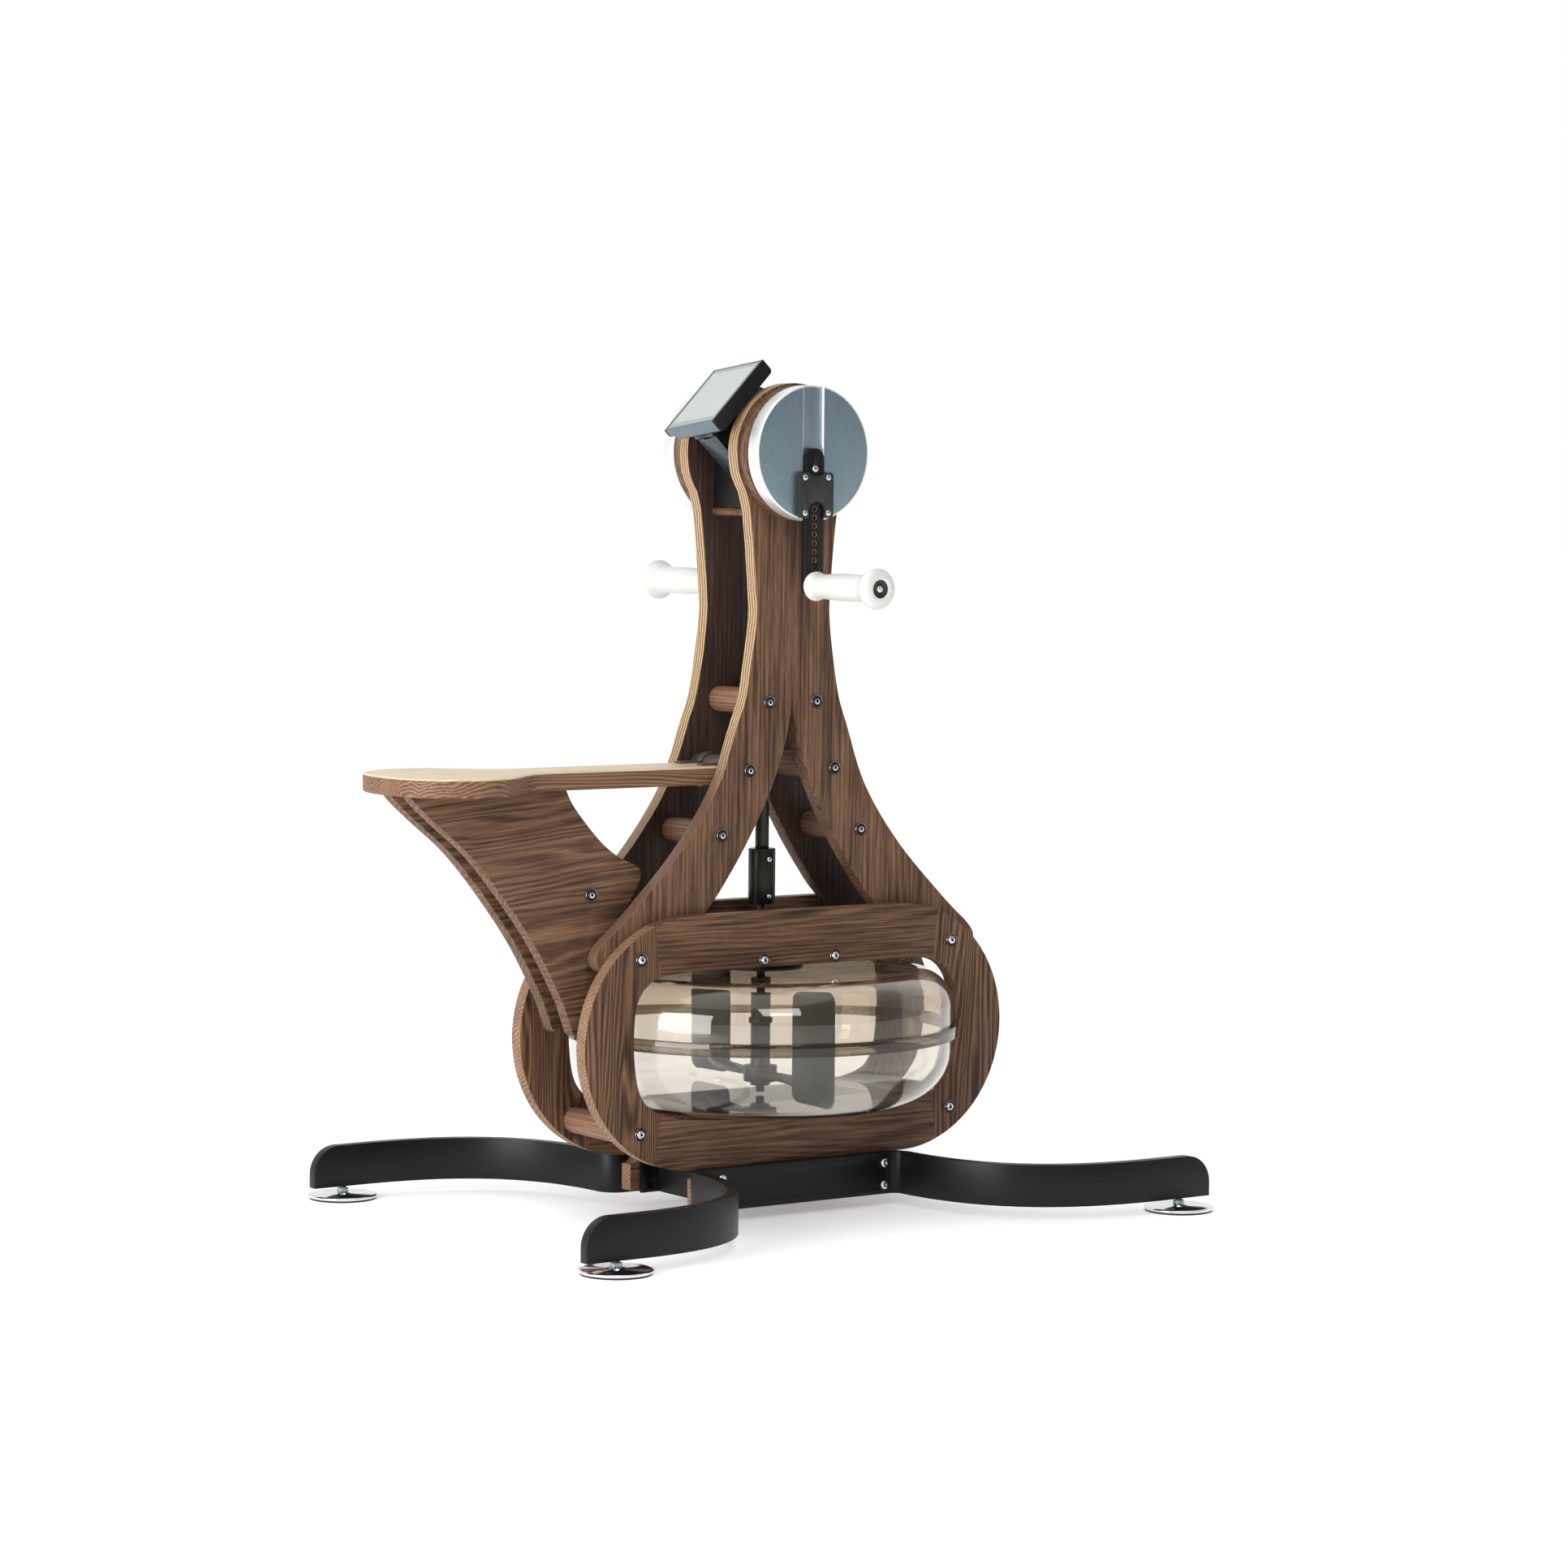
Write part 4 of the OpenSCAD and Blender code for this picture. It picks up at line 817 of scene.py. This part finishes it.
spin_profile(barrel, [(0, -10), (4.6, -10), (5, -9.6), (5, 9.6), (4.6, 10), (0, 10)], 32)
pin = bmesh.new()
spin_profile(pin, [(0, -22), (2.2, -22), (2.5, -21.7), (2.5, 21.7), (2.2, 22), (0, 22)], 24)
upright = Matrix.Translation((pin_x * MM, 0, pin_z * MM)) @ Matrix.Rotation(math.radians(90), 4, "X")
stamp(hinge, barrel, [upright])
stamp(hinge, pin, [upright])
case_piece("display_hinge", hinge, [moulding_black], "black_moulding")
eased("display_bracket", [strap_steel], 0.8, 3)

# %% [markdown]
# ## Seat
# The seat is a thick board with a pale lacquered top, a soft round along its upper edge and a
# stained edge. Two plates under it lean on the frame, and two clips hook on the sleeved rod.
# %% Seat pieces


def seat_finish(face):
    return 0 if face.normal.z > 0.55 else 1


eased("seat_board", [seat_face, seat_rim], 4.0, 4, seat_finish)
eased("seat_brackets", [bracket_face, board_face], 2.0, 3, edge_or_face)
eased("seat_hooks", [sleeve_grey], 0.6, 2)
bolts("seat_bolts", cup_bolt(4.1), 4.0)

# %% [markdown]
# ## Feet
# A levelling foot is a rubber pad in a polished steel cup, with a hex and a zinc-plated stud that
# screws into the bar. The cup is a spun profile with a rolled rim.
# %% Feet


def foot(node):
    low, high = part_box(node)
    middle = Matrix.Translation(((low.x + high.x) / 2, (low.y + high.y) / 2, 0))
    mesh = bmesh.new()
    spin_profile(mesh, [(0, 2.4), (48.6, 2.4), (49.7, 3.0), (50, 4.2), (49.8, 5.6), (48.6, 6.6), (46, 7.0),
                        (14, 7.6), (12, 8.6), (0, 8.6)], 96)
    outward(mesh)
    soften(mesh, 40)
    bmesh.ops.transform(mesh, matrix=middle, verts=mesh.verts)
    body = frame["nodes"][node]["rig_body"]
    put(node + "_cup", mesh, [chrome], body, "bright_steel", node)
    mesh = bmesh.new()
    spin_profile(mesh, [(0, 0), (47.2, 0), (48.2, 0.8), (48.4, 2.5), (0, 2.5)], 96)
    outward(mesh)
    soften(mesh, 40)
    bmesh.ops.transform(mesh, matrix=middle, verts=mesh.verts)
    put(node + "_rubber", mesh, [rubber], body, "bright_steel")
    mesh = bmesh.new()
    thread = [(0, 8)]
    for turn in range(12):
        thread += [(4.3, 8.5 + turn * 1.25), (4.9, 9.1 + turn * 1.25)]
    spin_profile(mesh, thread + [(4.3, 24), (0, 24)], 24)
    nut = bmesh.ops.create_cone(mesh, cap_ends=True, segments=6, radius1=8.4 * MM, radius2=8.4 * MM,
                                depth=6.5 * MM, matrix=Matrix.Translation((0, 0, 12.2 * MM)))
    bmesh.ops.bevel(mesh, geom=list({e for v in nut["verts"] for e in v.link_edges}), offset=0.5 * MM,
                    segments=2, profile=0.5, affect="EDGES", material=-1)
    outward(mesh)
    soften(mesh, 40)
    bmesh.ops.transform(mesh, matrix=middle, verts=mesh.verts)
    put(node + "_stud", mesh, [zinc], body, "bright_steel")


for node in ("front_right_foot", "front_left_foot", "rear_right_foot", "rear_left_foot"):
    foot(node)

# %% [markdown]
# ## Studio
# The floor is a wide pale sheet with a little glow of its own, as a lit paper sweep has. The room is
# white behind and beside the machine and dim in front, so polished metal shows a dark middle and
# bright rims. One low light on the left picks out the pale edges, a second lights the front from
# above, and a broad sky fills the rest. The Standard view keeps the paper white.
# %% Floor, lights and camera
floor_finish = plain("matt_paper_floor", "#EDEDED", "#F0F0F0", 900.0, 0.9, 0.02, depth_mm=0.01,
                     Emission_Color=(1.0, 1.0, 1.0, 1.0), Emission_Strength=0.3)
floor_mesh = bmesh.new()
bmesh.ops.create_grid(floor_mesh, x_segments=2, y_segments=2, size=40)
floor_data = bpy.data.meshes.new("studio_floor")
floor_mesh.to_mesh(floor_data)
floor_mesh.free()
floor_data.materials.append(floor_finish)
floor = bpy.data.objects.new("studio_floor", floor_data)
bpy.context.scene.collection.objects.link(floor)
bpy.context.scene.view_settings.view_transform = "Standard"

world = bpy.data.worlds.new("studio_air")
world.use_nodes = True
air = world.node_tree
where = add(air, "TexCoord").outputs["Generated"]  # for a world this is the direction of the ray
toward = add(air, "VectorMath", {"operation": "DOT_PRODUCT", 1: (-0.1, -0.99, 0.1)}, {0: where})
room = add(air, "MapRange", {"From Min": -0.3, "From Max": 0.75, "To Min": 0.95, "To Max": 0.16},
           {"Value": toward.outputs["Value"]})
ray = add(air, "LightPath")
seen = add(air, "Math", {"operation": "MAXIMUM"}, {0: ray.outputs["Is Camera Ray"],
                                                   1: ray.outputs["Is Transmission Ray"]})
strength = add(air, "Math", {"operation": "MAXIMUM"}, {0: room.outputs["Result"], 1: seen.outputs[0]})
air.links.new(strength.outputs[0], air.nodes["Background"].inputs["Strength"])
air.nodes["Background"].inputs["Color"].default_value = (1.0, 1.0, 1.0, 1.0)
bpy.context.scene.world = world


def softbox(name, place, aim, size, watts):
    data = bpy.data.lights.new(name, "AREA")
    data.shape, data.size, data.energy = "SQUARE", size, watts
    light = bpy.data.objects.new(name, data)
    bpy.context.scene.collection.objects.link(light)
    light.location = place
    light.rotation_euler = (Vector(aim) - Vector(place)).to_track_quat("-Z", "Y").to_euler()
    return light


def skylight(name, strength, spread_deg, lean_deg):
    data = bpy.data.lights.new(name, "SUN")
    data.energy, data.angle = strength, math.radians(spread_deg)
    light = bpy.data.objects.new(name, data)
    bpy.context.scene.collection.objects.link(light)
    light.rotation_euler = (0, math.radians(lean_deg), 0)
    return light


lights = [
    softbox("left_softbox", (-3.0, -0.6, 0.7), (0, 0, 0.6), 1.8, 75),
    softbox("front_fill", (-1.3, -3.4, 3.1), (0, 0, 0.5), 1.7, 60),
    skylight("ceiling", 0.75, 70, -12),
]

AZIMUTH, ELEVATION, ROLL = math.radians(-34.98), math.radians(3.989), math.radians(-0.478)
back = Vector((math.sin(AZIMUTH) * math.cos(ELEVATION), -math.cos(AZIMUTH) * math.cos(ELEVATION),
               math.sin(ELEVATION)))
right = (-back).cross(Vector((0, 0, 1))).normalized()
down = (-back).cross(right)
side_axis = math.cos(ROLL) * right + math.sin(ROLL) * down
down_axis = -math.sin(ROLL) * right + math.cos(ROLL) * down
camera = bpy.data.objects.new("studio_camera", bpy.data.cameras.new("studio_camera"))
bpy.context.scene.collection.objects.link(camera)
camera.data.lens, camera.data.sensor_width = 103.28, 36.0
camera.data.clip_end = 200
turn = Matrix((side_axis, -down_axis, back)).transposed().to_4x4()
camera.matrix_world = Matrix.Translation((AXIS_X - 3.63391, -5.24704, 1.04801)) @ turn
bpy.context.scene.camera = camera
print("camera at", [round(v, 3) for v in camera.location])
